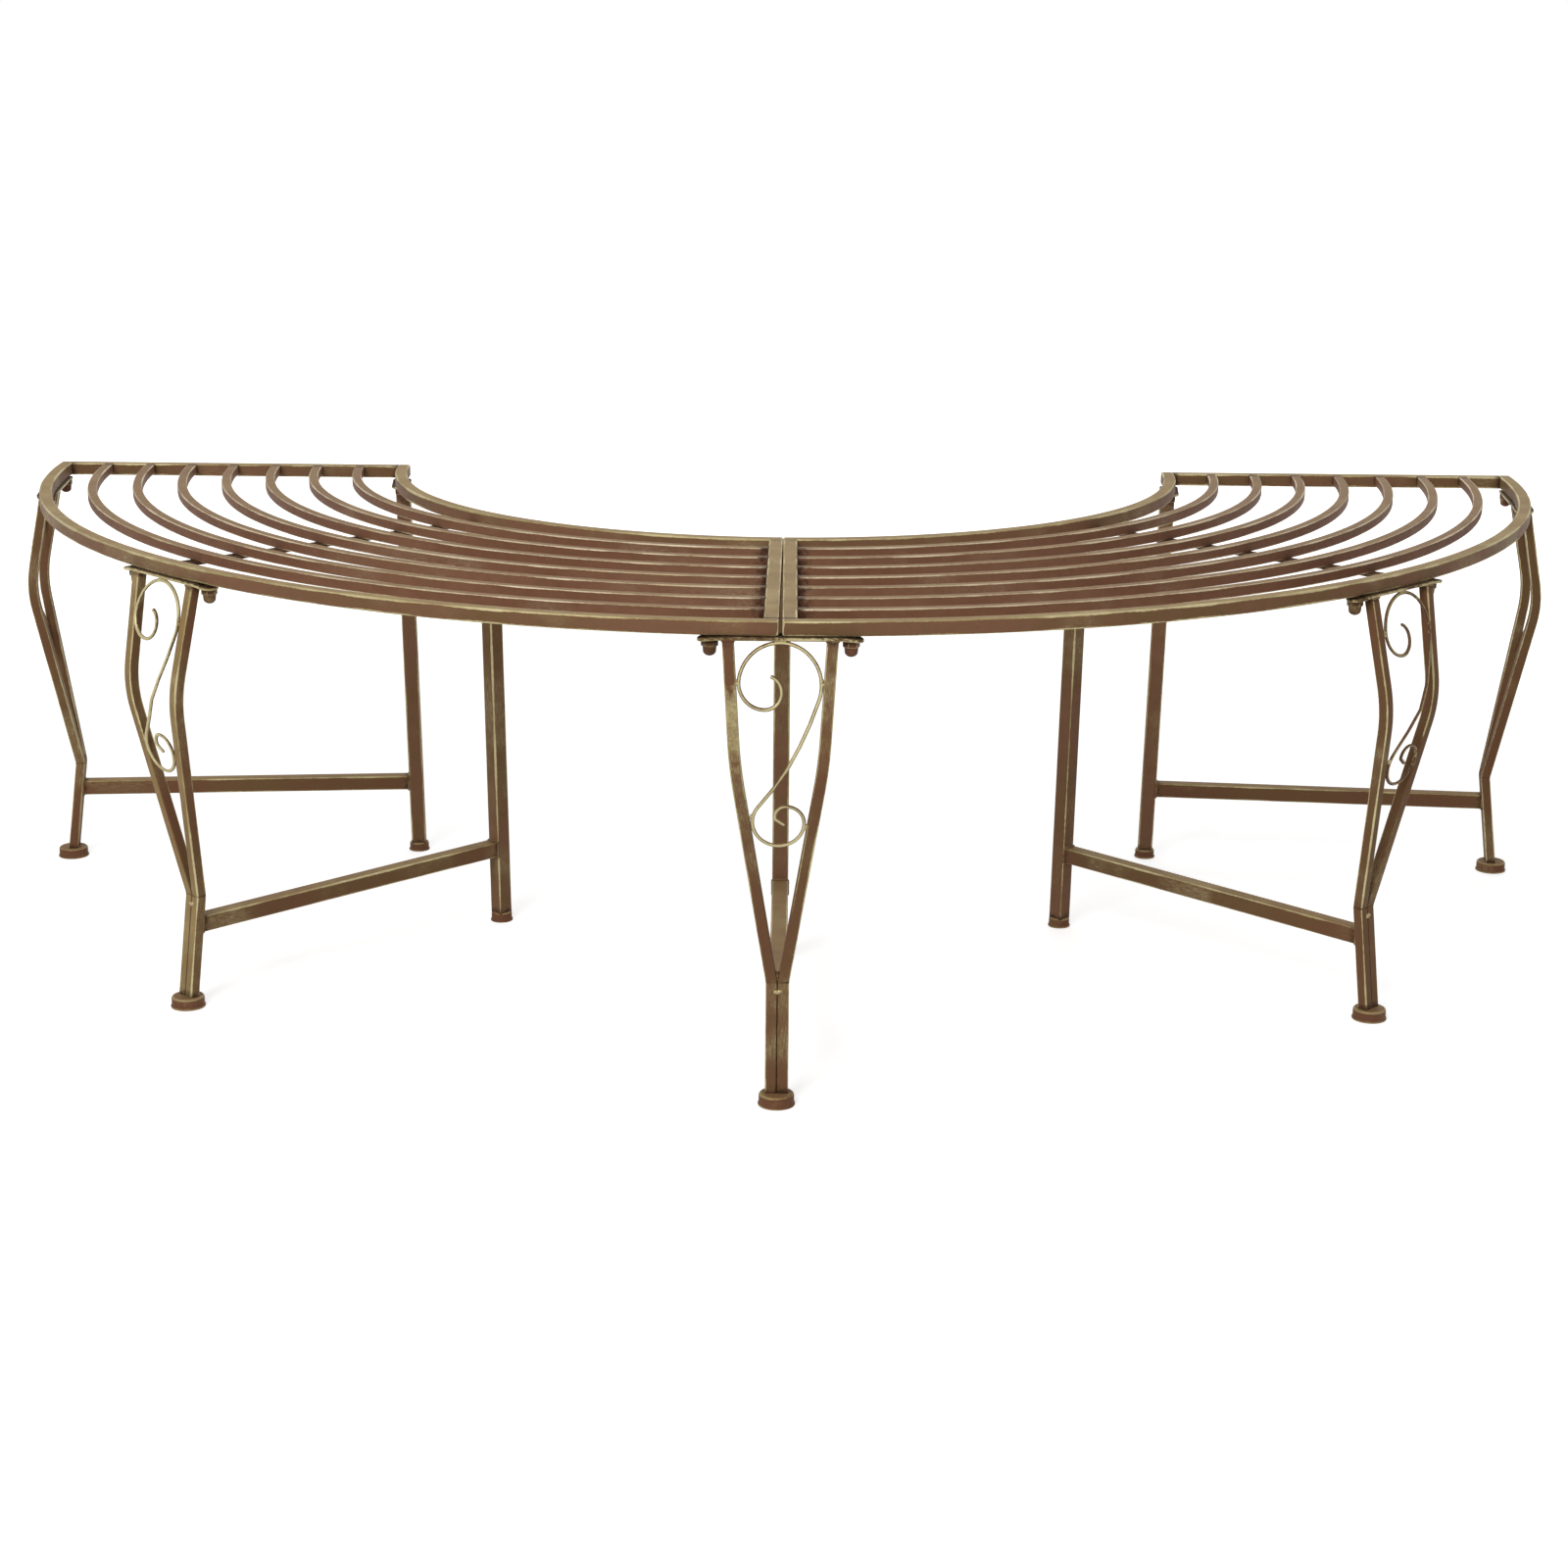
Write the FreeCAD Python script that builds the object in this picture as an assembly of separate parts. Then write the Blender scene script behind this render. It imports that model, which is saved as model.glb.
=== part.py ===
import FreeCAD, Part
import math
import os

Vec = FreeCAD.Vector
UP = Vec(0, 0, 1)
ORIGIN = Vec(0, 0, 0)

# Seat, millimetres
SEAT_RADIUS = 800.0
TREE_RADIUS = 415.0
SEAT_HEIGHT = 432.0
RIM_SIDE = 13.0
SLAT_SIDE = 10.0
SLAT_COUNT = 7
SEAM_GAP = 2.0
CROSS_WIDTH = 16.0
CROSS_ANGLE = 43.0

# Straps, studs and cap nuts under the rims
STRAP_THICK = 3.0
STRAP_WIDTH = 20.0
STRAP_CORNER = 5.0
OUTER_STRAP_LENGTH = 140.0
INNER_STRAP_LENGTH = 60.0
OUTER_STUD_SPACING = 119.0
INNER_STUD_SPACING = 42.0
STUD_RADIUS = 4.0
HOLE_CLEARANCE = 0.5
FASTENER_SIDES = 6
NUT_RADIUS = 7.5
NUT_HEX_HEIGHT = 7.5
NUT_DOME_HEIGHT = 7.5
NUT_TIP_RADIUS = 3.6

# Outer leg pairs, bent from one tube each
TUBE_SIDE = 10.0
PAIR_GAP = 0.4
TOP_HALF_SPREAD = 44.0
TOP_INSET = 2.0
KNEE_HALF_SPREAD = 37.5
KNEE_REACH = 19.0
KNEE_DROP = 119.5
KNEE_BEND = 118.0
WAIST_INSET = 17.5
WAIST_HEIGHT = 109.0
WAIST_BEND = 30.0
FOOT_INSET = 3.0

# Inner legs and stretchers
LEG_SIDE = 16.0
LEG_WALL = 1.2
INNER_TOP_SHIFT = 1.5
INNER_LEAN = 7.5
STRETCHER_HEIGHT = 80.0
MID_FRAME_ANGLE = 45.0
END_FRAME_ANGLE = 5.6
FREE_END_ANGLE = 90.0

# Feet
OUTER_FOOT_MARGIN = 6.3
OUTER_FOOT_HEIGHT = 11.0
INNER_FOOT_MARGIN = 3.5
INNER_FOOT_HEIGHT = 10.0
FOOT_FLARE = 0.8
FOOT_EDGE = 1.2
FOOT_SIDES = 12

# Scroll of bent wire between the two tubes of a leg
WIRE_RADIUS = 1.6
WIRE_SIDES = 6
WIRE_CLEARANCE = 0.2
BEND_STEP_ANGLE = 25.0
LEAST_BEND_COUNT = 2
UPPER_CURL_ANGLE = 170.0
UPPER_CURL_RADIUS = 22.0
UPPER_EYE_RADIUS = 14.0
UPPER_EYE_ANGLE = 70.0
SWEEP_RADIUS = 300.0
WIRE_KNEE_REACH = 2.6
LOWER_LOOP_DROP = 172.0
LOWER_CURL_RADII = (21.5, 15.5, 9.5)
LOWER_HOOK_RADIUS = 4.0
LOWER_HOOK_ANGLE = 235.0
LOWER_TIP_LENGTH = 8.0

# Places that follow from the sizes above
RIM_BOTTOM = -RIM_SIDE
STRAP_BOTTOM = RIM_BOTTOM - STRAP_THICK
OUTER_RIM_MID = SEAT_RADIUS - RIM_SIDE / 2
INNER_RIM_MID = TREE_RADIUS + RIM_SIDE / 2
SLAT_FIELD = SEAT_RADIUS - TREE_RADIUS - 2 * RIM_SIDE
SLAT_GAP = (SLAT_FIELD - SLAT_COUNT * SLAT_SIDE) / (SLAT_COUNT + 1)
OUTER_FOOT_TOP = OUTER_FOOT_HEIGHT - SEAT_HEIGHT
INNER_FOOT_TOP = INNER_FOOT_HEIGHT - SEAT_HEIGHT
FRAME_ANGLES = {
    "left_end": END_FRAME_ANGLE - FREE_END_ANGLE,
    "left_mid": -MID_FRAME_ANGLE,
    "centre": 0.0,
    "right_mid": MID_FRAME_ANGLE,
    "right_end": FREE_END_ANGLE - END_FRAME_ANGLE,
}

parts = {}


def place(across, out, height):
    """A point of the centre leg frame: along the rim, out from the tree, up from the seat top."""
    return Vec(across, -out, height)


def box(low, high):
    size = high - low
    return Part.makeBox(size.x, size.y, size.z, low)


def square_face(middle, direction, side):
    """A square across a direction, with two of its edges level across the leg."""
    level = Vec(1, 0, 0)
    other = direction.cross(level).normalize()
    corners = [(1, 1), (-1, 1), (-1, -1), (1, -1), (1, 1)]
    return Part.Face(Part.makePolygon([middle + (level * a + other * b) * (side / 2) for a, b in corners]))


def square_tube(start, finish, side, wall):
    run = finish - start
    outside = square_face(start, run, side).extrude(run)
    return outside.cut(square_face(start, run, side - 2 * wall).extrude(run))


def bent_bar(points, radii, side):
    """One square bar along straight runs, bent round each inner point."""
    section = square_face(points[0], points[1] - points[0], side)
    here = points[0]
    pieces = []
    for before, corner, after, radius in zip(points, points[1:], points[2:], radii):
        run = (corner - before).normalize()
        leave = (after - corner).normalize()
        turn = run.getAngle(leave)
        setback = radius * math.tan(turn / 2)
        straight = corner - run * setback - here
        pieces.append(section.extrude(straight))
        section.translate(straight)
        axis = run.cross(leave).normalize()
        centre = here + straight + axis.cross(run) * radius
        pieces.append(section.revolve(centre, axis, math.degrees(turn)))
        section.rotate(centre, axis, math.degrees(turn))
        here = corner + leave * setback
    pieces.append(section.extrude(points[-1] - here))
    return pieces[0].fuse(pieces[1:]).removeSplitter()


def between_heights(shape, low, high):
    reach = 2 * SEAT_RADIUS
    return shape.common(box(Vec(-reach, -reach, low), Vec(reach, reach, high)))


def curved_bar(radius, side, end_inset):
    """A quarter turn of square bar, level with the seat top and cut square at both ends."""
    low = Vec(radius - side / 2, 0, -side)
    section = Part.makePlane(side, side, low, Vec(0, -1, 0), Vec(1, 0, 0))
    section.rotate(ORIGIN, UP, -90)
    start = Vec(SEAM_GAP / 2 + end_inset, -2 * SEAT_RADIUS, -SEAT_HEIGHT)
    finish = Vec(2 * SEAT_RADIUS, -end_inset, SEAT_HEIGHT)
    return section.revolve(ORIGIN, UP, 90).common(box(start, finish))


def fit_between_rims(shape):
    """A bar across the seat, with its ends cut round to fit the two rims."""
    outer = Part.makeCylinder(SEAT_RADIUS - RIM_SIDE, RIM_SIDE, Vec(0, 0, RIM_BOTTOM))
    inner = Part.makeCylinder(TREE_RADIUS + RIM_SIDE, RIM_SIDE, Vec(0, 0, RIM_BOTTOM))
    return shape.common(outer).cut(inner)


def seat_quarter():
    """The pieces of the right-hand quarter, welded together as one seat section."""
    pieces = {
        "outer_rim": curved_bar(OUTER_RIM_MID, RIM_SIDE, 0),
        "inner_rim": curved_bar(INNER_RIM_MID, RIM_SIDE, 0),
    }
    for number in range(SLAT_COUNT):
        radius = TREE_RADIUS + RIM_SIDE + SLAT_GAP + SLAT_SIDE / 2 + number * (SLAT_SIDE + SLAT_GAP)
        pieces[f"slat_{number + 1}"] = curved_bar(radius, SLAT_SIDE, RIM_SIDE)
    seam = SEAM_GAP / 2
    seam_bar = box(Vec(seam, -SEAT_RADIUS, RIM_BOTTOM), Vec(seam + RIM_SIDE, 0, 0))
    free_bar = box(Vec(0, -RIM_SIDE, RIM_BOTTOM), Vec(SEAT_RADIUS, 0, 0))
    strip = box(Vec(0, -CROSS_WIDTH / 2, RIM_BOTTOM), Vec(SEAT_RADIUS, CROSS_WIDTH / 2, -SLAT_SIDE))
    strip.rotate(ORIGIN, UP, -CROSS_ANGLE)
    pieces["seam_bar"] = fit_between_rims(seam_bar)
    pieces["free_bar"] = fit_between_rims(free_bar)
    pieces["cross_strip"] = fit_between_rims(strip)
    return pieces


def stud_places(rim_mid, spacing):
    """Where the two studs of a strap stand, on the middle line of the curved rim."""
    out = math.sqrt(rim_mid ** 2 - (spacing / 2) ** 2)
    return [place(side * spacing / 2, out, RIM_BOTTOM) for side in (-1, 1)]


def ring(centre, radius, sides):
    """A level polygon with its corners on a circle."""
    turns = [2 * math.pi * k / sides for k in range(sides + 1)]
    return Part.makePolygon([centre + Vec(math.cos(t), math.sin(t), 0) * radius for t in turns])


def stud(spot, radius):
    """A stud welded to the underside of the rim, as long as the strap is thick."""
    return Part.Face(ring(spot, radius, FASTENER_SIDES)).extrude(-UP * STRAP_THICK)


def strap(rim_mid, length, spacing):
    """A flat strap with cut corners and a hole at each end, pulled up against the rim."""
    low = place(-length / 2, rim_mid + STRAP_WIDTH / 2, STRAP_BOTTOM)
    high = place(length / 2, rim_mid - STRAP_WIDTH / 2, RIM_BOTTOM)
    plate = box(low, high)
    corners = [edge for edge in plate.Edges if abs(edge.tangentAt(0).z) == 1]
    plate = plate.makeChamfer(STRAP_CORNER, corners)
    return plate.cut([stud(spot, STUD_RADIUS + HOLE_CLEARANCE) for spot in stud_places(rim_mid, spacing)])


def cap_nut(spot):
    """A domed nut under the strap: six flats that narrow to the tip."""
    base = spot - UP * (STRAP_THICK + NUT_HEX_HEIGHT)
    rings = [
        ring(spot - UP * STRAP_THICK, NUT_RADIUS, FASTENER_SIDES),
        ring(base, NUT_RADIUS, FASTENER_SIDES),
        ring(base - UP * NUT_DOME_HEIGHT, NUT_TIP_RADIUS, FASTENER_SIDES),
    ]
    return Part.makeLoft(rings, True, True)


def leg_line(side):
    """Bend points of one outer tube, from the floor up to above the strap."""
    near = PAIR_GAP / 2 + TUBE_SIDE / 2
    rim_out = OUTER_RIM_MID + RIM_SIDE / 2
    foot = place(side * near, rim_out - FOOT_INSET, -SEAT_HEIGHT)
    waist = place(side * near, rim_out - WAIST_INSET, WAIST_HEIGHT - SEAT_HEIGHT)
    knee = place(side * KNEE_HALF_SPREAD, rim_out + KNEE_REACH, -KNEE_DROP)
    top = place(side * TOP_HALF_SPREAD, rim_out - TOP_INSET, STRAP_BOTTOM)
    return [foot, waist, knee, top]


def leg_tube(side):
    """One tube of the pair: straight foot, waist bend, knee bend, and a top cut level."""
    foot, waist, knee, top = leg_line(side)
    past_top = top + (top - knee).normalize() * TUBE_SIDE
    tube = bent_bar([foot, waist, knee, past_top], [WAIST_BEND, KNEE_BEND], TUBE_SIDE)
    return between_heights(tube, OUTER_FOOT_TOP, STRAP_BOTTOM)


def inner_leg_line():
    top = place(0, INNER_RIM_MID - INNER_TOP_SHIFT, STRAP_BOTTOM)
    foot = place(0, INNER_RIM_MID - INNER_TOP_SHIFT - INNER_LEAN, -SEAT_HEIGHT)
    return foot, top


def inner_leg():
    """The single tube under the inner rim, leaning a little towards the tree at its foot."""
    foot, top = inner_leg_line()
    past_top = top + (top - foot).normalize() * LEG_SIDE
    return between_heights(square_tube(foot, past_top, LEG_SIDE, LEG_WALL), INNER_FOOT_TOP, STRAP_BOTTOM)


def beyond(foot, along, distance):
    """A large block in front of a plane that runs up with a leg, at a distance from its middle."""
    reach = SEAT_RADIUS
    normal = Vec(1, 0, 0).cross(along).normalize()
    block = box(Vec(-reach, -reach, 0), Vec(reach, reach, reach))
    block.Placement = FreeCAD.Placement(foot + normal * distance, FreeCAD.Rotation(UP, normal))
    return block


def stretcher():
    """The level tube that ties the inner leg to the outer pair, cut to lie flat on both."""
    level = STRETCHER_HEIGHT - SEAT_HEIGHT
    start = place(0, TREE_RADIUS - LEG_SIDE, level)
    finish = place(0, SEAT_RADIUS, level)
    inner_foot, inner_top = inner_leg_line()
    outer_foot, waist, knee, top = leg_line(1)
    bar = square_tube(start, finish, LEG_SIDE, LEG_WALL)
    bar = bar.common(beyond(inner_foot, inner_top - inner_foot, LEG_SIDE / 2))
    return bar.cut(beyond(outer_foot, waist - outer_foot, -TUBE_SIDE / 2))


def foot_cap(spot, radius, height):
    """A steel foot, a little wider at the floor and with an eased top edge."""
    waist = radius - FOOT_FLARE
    rings = [
        ring(spot, radius, FOOT_SIDES),
        ring(spot + UP * (height - FOOT_EDGE), waist, FOOT_SIDES),
        ring(spot + UP * height, waist - FOOT_EDGE, FOOT_SIDES),
    ]
    return Part.makeLoft(rings, True, True)


def polar(radius, angle):
    """An arm of the scroll's flat drawing, with x across and z up."""
    return Vec(math.cos(math.radians(angle)), 0, math.sin(math.radians(angle))) * radius


def bend(centre, radius, start, finish):
    """Even steps along one bend of the wire, without its last point."""
    steps = max(LEAST_BEND_COUNT, round(abs(finish - start) / BEND_STEP_ANGLE))
    return [centre + polar(radius, start + (finish - start) * k / steps) for k in range(steps)]


def step_in(centre, radius, next_radius, angle):
    """The centre of the next bend, so that both share their tangent at the angle."""
    return centre + polar(radius - next_radius, angle)


def scroll_circles():
    """The two circles that fit between the tubes: under the strap and at the lower loop."""
    foot, waist, knee, top = leg_line(1)
    upper_slope = math.atan((top.x - knee.x) / (top.z - knee.z))
    upper_room = top.x - TUBE_SIDE / 2 / math.cos(upper_slope)
    upper = upper_room * math.cos(upper_slope) / (1 + math.sin(upper_slope))
    lower_slope = math.atan((knee.x - waist.x) / (knee.z - waist.z))
    lower_mid = waist.x + (-LOWER_LOOP_DROP - waist.z) * math.tan(lower_slope)
    lower = lower_mid * math.cos(lower_slope) - TUBE_SIDE / 2
    gap = WIRE_RADIUS + WIRE_CLEARANCE
    upper_centre = Vec(0, 0, STRAP_BOTTOM - upper)
    return upper_centre, upper - gap, Vec(0, 0, -LOWER_LOOP_DROP), lower - gap


def scroll_path():
    """Points along the wire: eye, curl, arch, long sweep, lower loop, curl and hook."""
    high, high_radius, low, low_radius = scroll_circles()
    curl = step_in(high, high_radius, UPPER_CURL_RADIUS, UPPER_CURL_ANGLE)
    eye = step_in(curl, UPPER_CURL_RADIUS, UPPER_EYE_RADIUS, 270)
    to_high = SWEEP_RADIUS - high_radius
    to_low = SWEEP_RADIUS + low_radius
    apart = high.z - low.z
    drop = (to_high ** 2 - to_low ** 2 + apart ** 2) / (2 * apart)
    sweep = high - Vec(math.sqrt(to_high ** 2 - drop ** 2), 0, drop)
    leave = math.degrees(math.atan2(high.z - sweep.z, high.x - sweep.x))
    arrive = math.degrees(math.atan2(low.z - sweep.z, low.x - sweep.x))
    points = bend(eye, UPPER_EYE_RADIUS, UPPER_EYE_ANGLE, -90)
    points += bend(curl, UPPER_CURL_RADIUS, 270, UPPER_CURL_ANGLE)
    points += bend(high, high_radius, UPPER_CURL_ANGLE, leave)
    level = math.degrees(math.asin((-KNEE_DROP - sweep.z) / SWEEP_RADIUS))
    points += bend(sweep, SWEEP_RADIUS, leave, level)
    points += bend(sweep, SWEEP_RADIUS, level, arrive)
    points += bend(low, low_radius, arrive + 180, 270)
    centre = low
    radius = low_radius
    angle = 270
    for next_radius in LOWER_CURL_RADII:
        centre = step_in(centre, radius, next_radius, angle)
        radius = next_radius
        points += bend(centre, radius, angle, angle + 90)
        angle += 90
    centre = step_in(centre, radius, LOWER_HOOK_RADIUS, angle)
    points += bend(centre, LOWER_HOOK_RADIUS, angle, LOWER_HOOK_ANGLE + 360)
    hook = centre + polar(LOWER_HOOK_RADIUS, LOWER_HOOK_ANGLE)
    return points + [hook, hook + polar(LOWER_TIP_LENGTH, LOWER_HOOK_ANGLE + 90)]


def beside_tubes(spot):
    """A point of the flat drawing, moved out to the tubes' front faces, with one bend at the knee."""
    foot, waist, knee, top = leg_line(1)
    high, high_radius, low, low_radius = scroll_circles()
    if spot.z > knee.z:
        level = top.z
        end_y = top.y
    else:
        level = low.z - low_radius
        end_y = knee.y + (waist.y - knee.y) * (knee.z - level) / (knee.z - waist.z)
    bend_y = knee.y - WIRE_KNEE_REACH
    along = (spot.z - knee.z) / (level - knee.z)
    return spot + Vec(0, bend_y + (end_y - bend_y) * along - TUBE_SIDE / 2 + WIRE_RADIUS, 0)


def wire_ring(before, here, after):
    """The wire's section at one point of its path, on the mitre between two runs."""
    arrive = (here - before).normalize()
    leave = (after - here).normalize()
    mitre = (arrive + leave).normalize()
    depth = Vec(0, 1, 0)
    width = mitre.cross(depth) / mitre.dot(arrive)
    turns = [2 * math.pi * (k + 0.5) / WIRE_SIDES for k in range(WIRE_SIDES + 1)]
    arms = [width * math.cos(t) + depth * math.sin(t) for t in turns]
    return Part.makePolygon([beside_tubes(here + arm * WIRE_RADIUS) for arm in arms])


def scroll():
    """The wire scroll between the two tubes of a pair."""
    path = scroll_path()
    befores = [path[0] * 2 - path[1]] + path[:-1]
    afters = path[1:] + [path[-1] * 2 - path[-2]]
    return Part.makeLoft([wire_ring(*three) for three in zip(befores, path, afters)], True, True)


def leg_frame():
    """The pieces of one leg frame, drawn at the front of the bench."""
    foot, top = inner_leg_line()
    pieces = {
        "leg_tube_a": leg_tube(-1),
        "leg_tube_b": leg_tube(1),
        "strap": strap(OUTER_RIM_MID, OUTER_STRAP_LENGTH, OUTER_STUD_SPACING),
        "scroll": scroll(),
        "stretcher": stretcher(),
        "inner_leg": inner_leg(),
    }
    outer_studs = stud_places(OUTER_RIM_MID, OUTER_STUD_SPACING)
    inner_studs = stud_places(INNER_RIM_MID, INNER_STUD_SPACING)
    outer_foot = place(0, SEAT_RADIUS - FOOT_INSET, -SEAT_HEIGHT)
    outer_foot_radius = PAIR_GAP / 2 + TUBE_SIDE + OUTER_FOOT_MARGIN
    inner_foot_radius = LEG_SIDE / 2 + INNER_FOOT_MARGIN
    repeated = {
        "inner_straps": [strap(INNER_RIM_MID, INNER_STRAP_LENGTH, INNER_STUD_SPACING)],
        "studs": [stud(spot, STUD_RADIUS) for spot in outer_studs + inner_studs],
        "cap_nuts": [cap_nut(spot) for spot in outer_studs + inner_studs],
        "outer_feet": [foot_cap(outer_foot, outer_foot_radius, OUTER_FOOT_HEIGHT)],
        "inner_feet": [foot_cap(foot, inner_foot_radius, INNER_FOOT_HEIGHT)],
    }
    return pieces, repeated


def turned(shape, angle):
    return shape.rotated(ORIGIN, UP, angle)


for name, shape in seat_quarter().items():
    parts["right_" + name] = shape
    parts["left_" + name] = shape.mirror(ORIGIN, Vec(1, 0, 0))

frame_pieces, frame_repeats = leg_frame()
for frame_name, angle in FRAME_ANGLES.items():
    for name, shape in frame_pieces.items():
        parts[f"{frame_name}_{name}"] = turned(shape, angle)
for name, solids in frame_repeats.items():
    copies = [turned(shape, angle) for angle in FRAME_ANGLES.values() for shape in solids]
    parts[name] = Part.makeCompound(copies)

# The origin is on the floor, under the middle of the bench's own box
front = parts["centre_leg_tube_a"].optimalBoundingBox(False).YMin
shift = Vec(0, -front / 2, SEAT_HEIGHT)
os.makedirs("parts", exist_ok=True)
for name, shape in parts.items():
    shape.translated(shift).exportStep(f"parts/{name}.step")
    print(name, len(shape.Solids), shape.isValid(), round(shape.Volume))
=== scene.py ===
from math import asin, atan, atan2, ceil, cos, degrees, hypot, pi, radians, sin, sqrt, tan

import bpy
from mathutils import Matrix, Vector, noise


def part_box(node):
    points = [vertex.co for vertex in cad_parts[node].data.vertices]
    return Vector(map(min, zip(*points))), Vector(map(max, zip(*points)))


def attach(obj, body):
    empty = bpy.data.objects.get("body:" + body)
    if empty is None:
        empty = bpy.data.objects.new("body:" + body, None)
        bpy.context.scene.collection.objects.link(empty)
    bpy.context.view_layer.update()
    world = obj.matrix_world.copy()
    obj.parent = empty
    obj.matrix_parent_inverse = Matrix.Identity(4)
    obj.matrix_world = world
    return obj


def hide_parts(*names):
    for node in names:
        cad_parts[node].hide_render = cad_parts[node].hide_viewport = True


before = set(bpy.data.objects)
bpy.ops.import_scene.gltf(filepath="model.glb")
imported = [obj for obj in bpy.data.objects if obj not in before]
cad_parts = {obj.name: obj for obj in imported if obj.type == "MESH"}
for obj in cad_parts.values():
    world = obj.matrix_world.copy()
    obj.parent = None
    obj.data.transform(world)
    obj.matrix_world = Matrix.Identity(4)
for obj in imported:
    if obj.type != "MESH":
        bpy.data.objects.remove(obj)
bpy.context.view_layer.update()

MM = 0.001
ACROSS = Vector((1, 0, 0))
UP = Vector((0, 0, 1))

# Lengths are in millimetres and angles in degrees, unless a comment says otherwise. Heights
# count from the top of the seat, and places from the centre of the ring.

# Seat
SEAT_RADIUS = 800.0
TREE_RADIUS = 415.0
RIM_SIDE = 13.0
RIM_CORNER = 1.5
SLAT_SIDE = 10.0
SLAT_CORNER = 1.2
SLAT_COUNT = 7
CROSS_WIDTH = 16.0
CROSS_CORNER = 0.6
CROSS_ANGLE = 43.0
SUNK_END = 0.5

# Seam in front, which opens outwards and nearly closes towards the tree
SEAM_GAP = 2.0
SEAM_OPENING = 0.5
SEAM_CLOSING = 0.95
SEAM_CLOSED_FROM = 0.7
# SEAM_FACE: points this near the seam get painted shade, as the gap is dark
SEAM_FACE = 0.2

# Straps under the rims, with their studs and domed nuts
STRAP_THICK = 3.0
STRAP_WIDTH = 20.0
STRAP_EASE = 0.7
STRAP_DROOP = 2.4
STRAP_DROOP_FROM = 0.66
OUTER_STRAP_LENGTH = 140.0
INNER_STRAP_LENGTH = 60.0
OUTER_STUD_SPACING = 119.0
INNER_STUD_SPACING = 42.0
NUT_HEX_HEIGHT = 6.3
NUT_FLAT_REACH = 6.5
NUT_CORNER_REACH = 7.4
NUT_MEAN_REACH = 7.2
NUT_TURNED_RADIUS = 7.5
NUT_NECK_RADIUS = 6.05
NUT_NECK_HEIGHT = 4.0
NUT_DOME_RADIUS = 5.7
NUT_DOME_HEIGHT = 4.6
NUT_TIP_RADIUS = 0.02
NUT_DIRT_AND_SHADE_REACH = 1.2

# Outer legs, each a pair of bent tubes
TUBE_SIDE = 10.0
TUBE_CORNER = 1.3
PAIR_GAP = 0.4
PAIR_COAT_OVERLAP = 0.2
PAIR_COAT_DEPTH = 6.0
TOP_HALF_SPREAD = 44.0
TOP_INSET = 2.0
KNEE_HALF_SPREAD = 37.5
KNEE_REACH = 19.0
KNEE_DROP = 119.5
KNEE_BEND = 118.0
WAIST_INSET = 17.5
WAIST_HEIGHT = 109.0
WAIST_BEND = 16.0
FOOT_INSET = 3.0

# Where the two tubes face each other their corners get no gold, and their facing sides below the waist and
# the crease of the waist get painted shade
FACING_CORNER = 1.7
FACING_SIDE = 0.5
CROTCH_RISE = 6.0
CREASE_REACH = 1.0
CREASE_SHADE = 0.55

# Inner legs, stretchers and feet
LEG_SIDE = 16.0
LEG_CORNER = 2.0
LEG_IN_FOOT = 1.0
INNER_TOP_SHIFT = 1.5
INNER_LEAN = 7.5
STRETCHER_HEIGHT = 80.0
OUTER_FOOT_RADIUS = 16.5
OUTER_FOOT_HEIGHT = 11.0
INNER_FOOT_RADIUS = 11.5
INNER_FOOT_HEIGHT = 10.0
FOOT_SHOULDER = 2.4
FOOT_FLARE = 0.9

# Scrolls of bent wire
WIRE_RADIUS = 1.6
WIRE_CLEARANCE = 0.2
WIRE_SNIP = 0.35
WIRE_SNIP_SHARE = 0.7
UPPER_CURL_START = 170.0
UPPER_CURL_RADIUS = 22.0
UPPER_EYE_RADIUS = 14.0
UPPER_EYE_END = 70.0
SWEEP_RADIUS = 300.0
WIRE_KNEE_REACH = 4.4
WIRE_KNEE_EASE = 7.0
LOWER_CURL_RADII = (21.5, 15.5, 9.5)
LOWER_HOOK_RADIUS = 4.0
LOWER_HOOK_END = 235.0
LOWER_TIP_LENGTH = 8.0

# Weld beads; WAIST_BEADS are (across, drop below the waist)
BEAD_ROUGHNESS = 0.35
BEAD_LUMPS = 1.7
BEAD_PITCH = 2.2
TACK_SIZE = 1.7
CORNER_BEAD_SIZE = 1.25
CORNER_BEAD_DROP = 0.4
WAIST_BEAD_SIZE = 2.5
WAIST_BEADS = ((-1.6, 8.6), (0.2, 9.0), (1.9, 8.3))
CROTCH_BEAD_RISE = 5.5
COLLAR_BEAD_SIZE = BEAD_PITCH * 0.62
COLLAR_BEAD_COUNT = 10
COLLAR_INSET = 0.3
COLLAR_SHIFT = 0.8

# Where the bench stands in the frame
RING_CENTRE_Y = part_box("right_free_bar")[1][1] / MM
SEAT_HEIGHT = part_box("right_outer_rim")[1][2] / MM
OUTER_RIM_MID = SEAT_RADIUS - RIM_SIDE / 2
INNER_RIM_MID = TREE_RADIUS + RIM_SIDE / 2
STRAP_BOTTOM = -RIM_SIDE - STRAP_THICK
SLAT_PITCH = (SEAT_RADIUS - TREE_RADIUS - 2 * RIM_SIDE + SLAT_SIDE) / (SLAT_COUNT + 1)

# Each leg frame's turn about the ring's centre, and the depth of its scroll's lower loop
END_FRAME_ANGLE = 5.6
FRAMES = {
    "left_end": (-90 + END_FRAME_ANGLE, 172.0),
    "left_mid": (-45, 175.5),
    "centre": (0, 170.0),
    "right_mid": (45, 176.0),
    "right_end": (90 - END_FRAME_ANGLE, 172.0),
}

# How far the finish looks from an edge, how far dirt and painted shade reach from a weld, and where extra
# points carry that
EDGE_REACH = 6.0
NO_EDGE = 3.0
NOOK_REACH = 9.0
SLAT_NOOK_REACH = 17.0
NEAR_END = (0.0, 2.5, 5.0, 9.0, 17.0)
NEAR_BEND = 2.0

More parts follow.
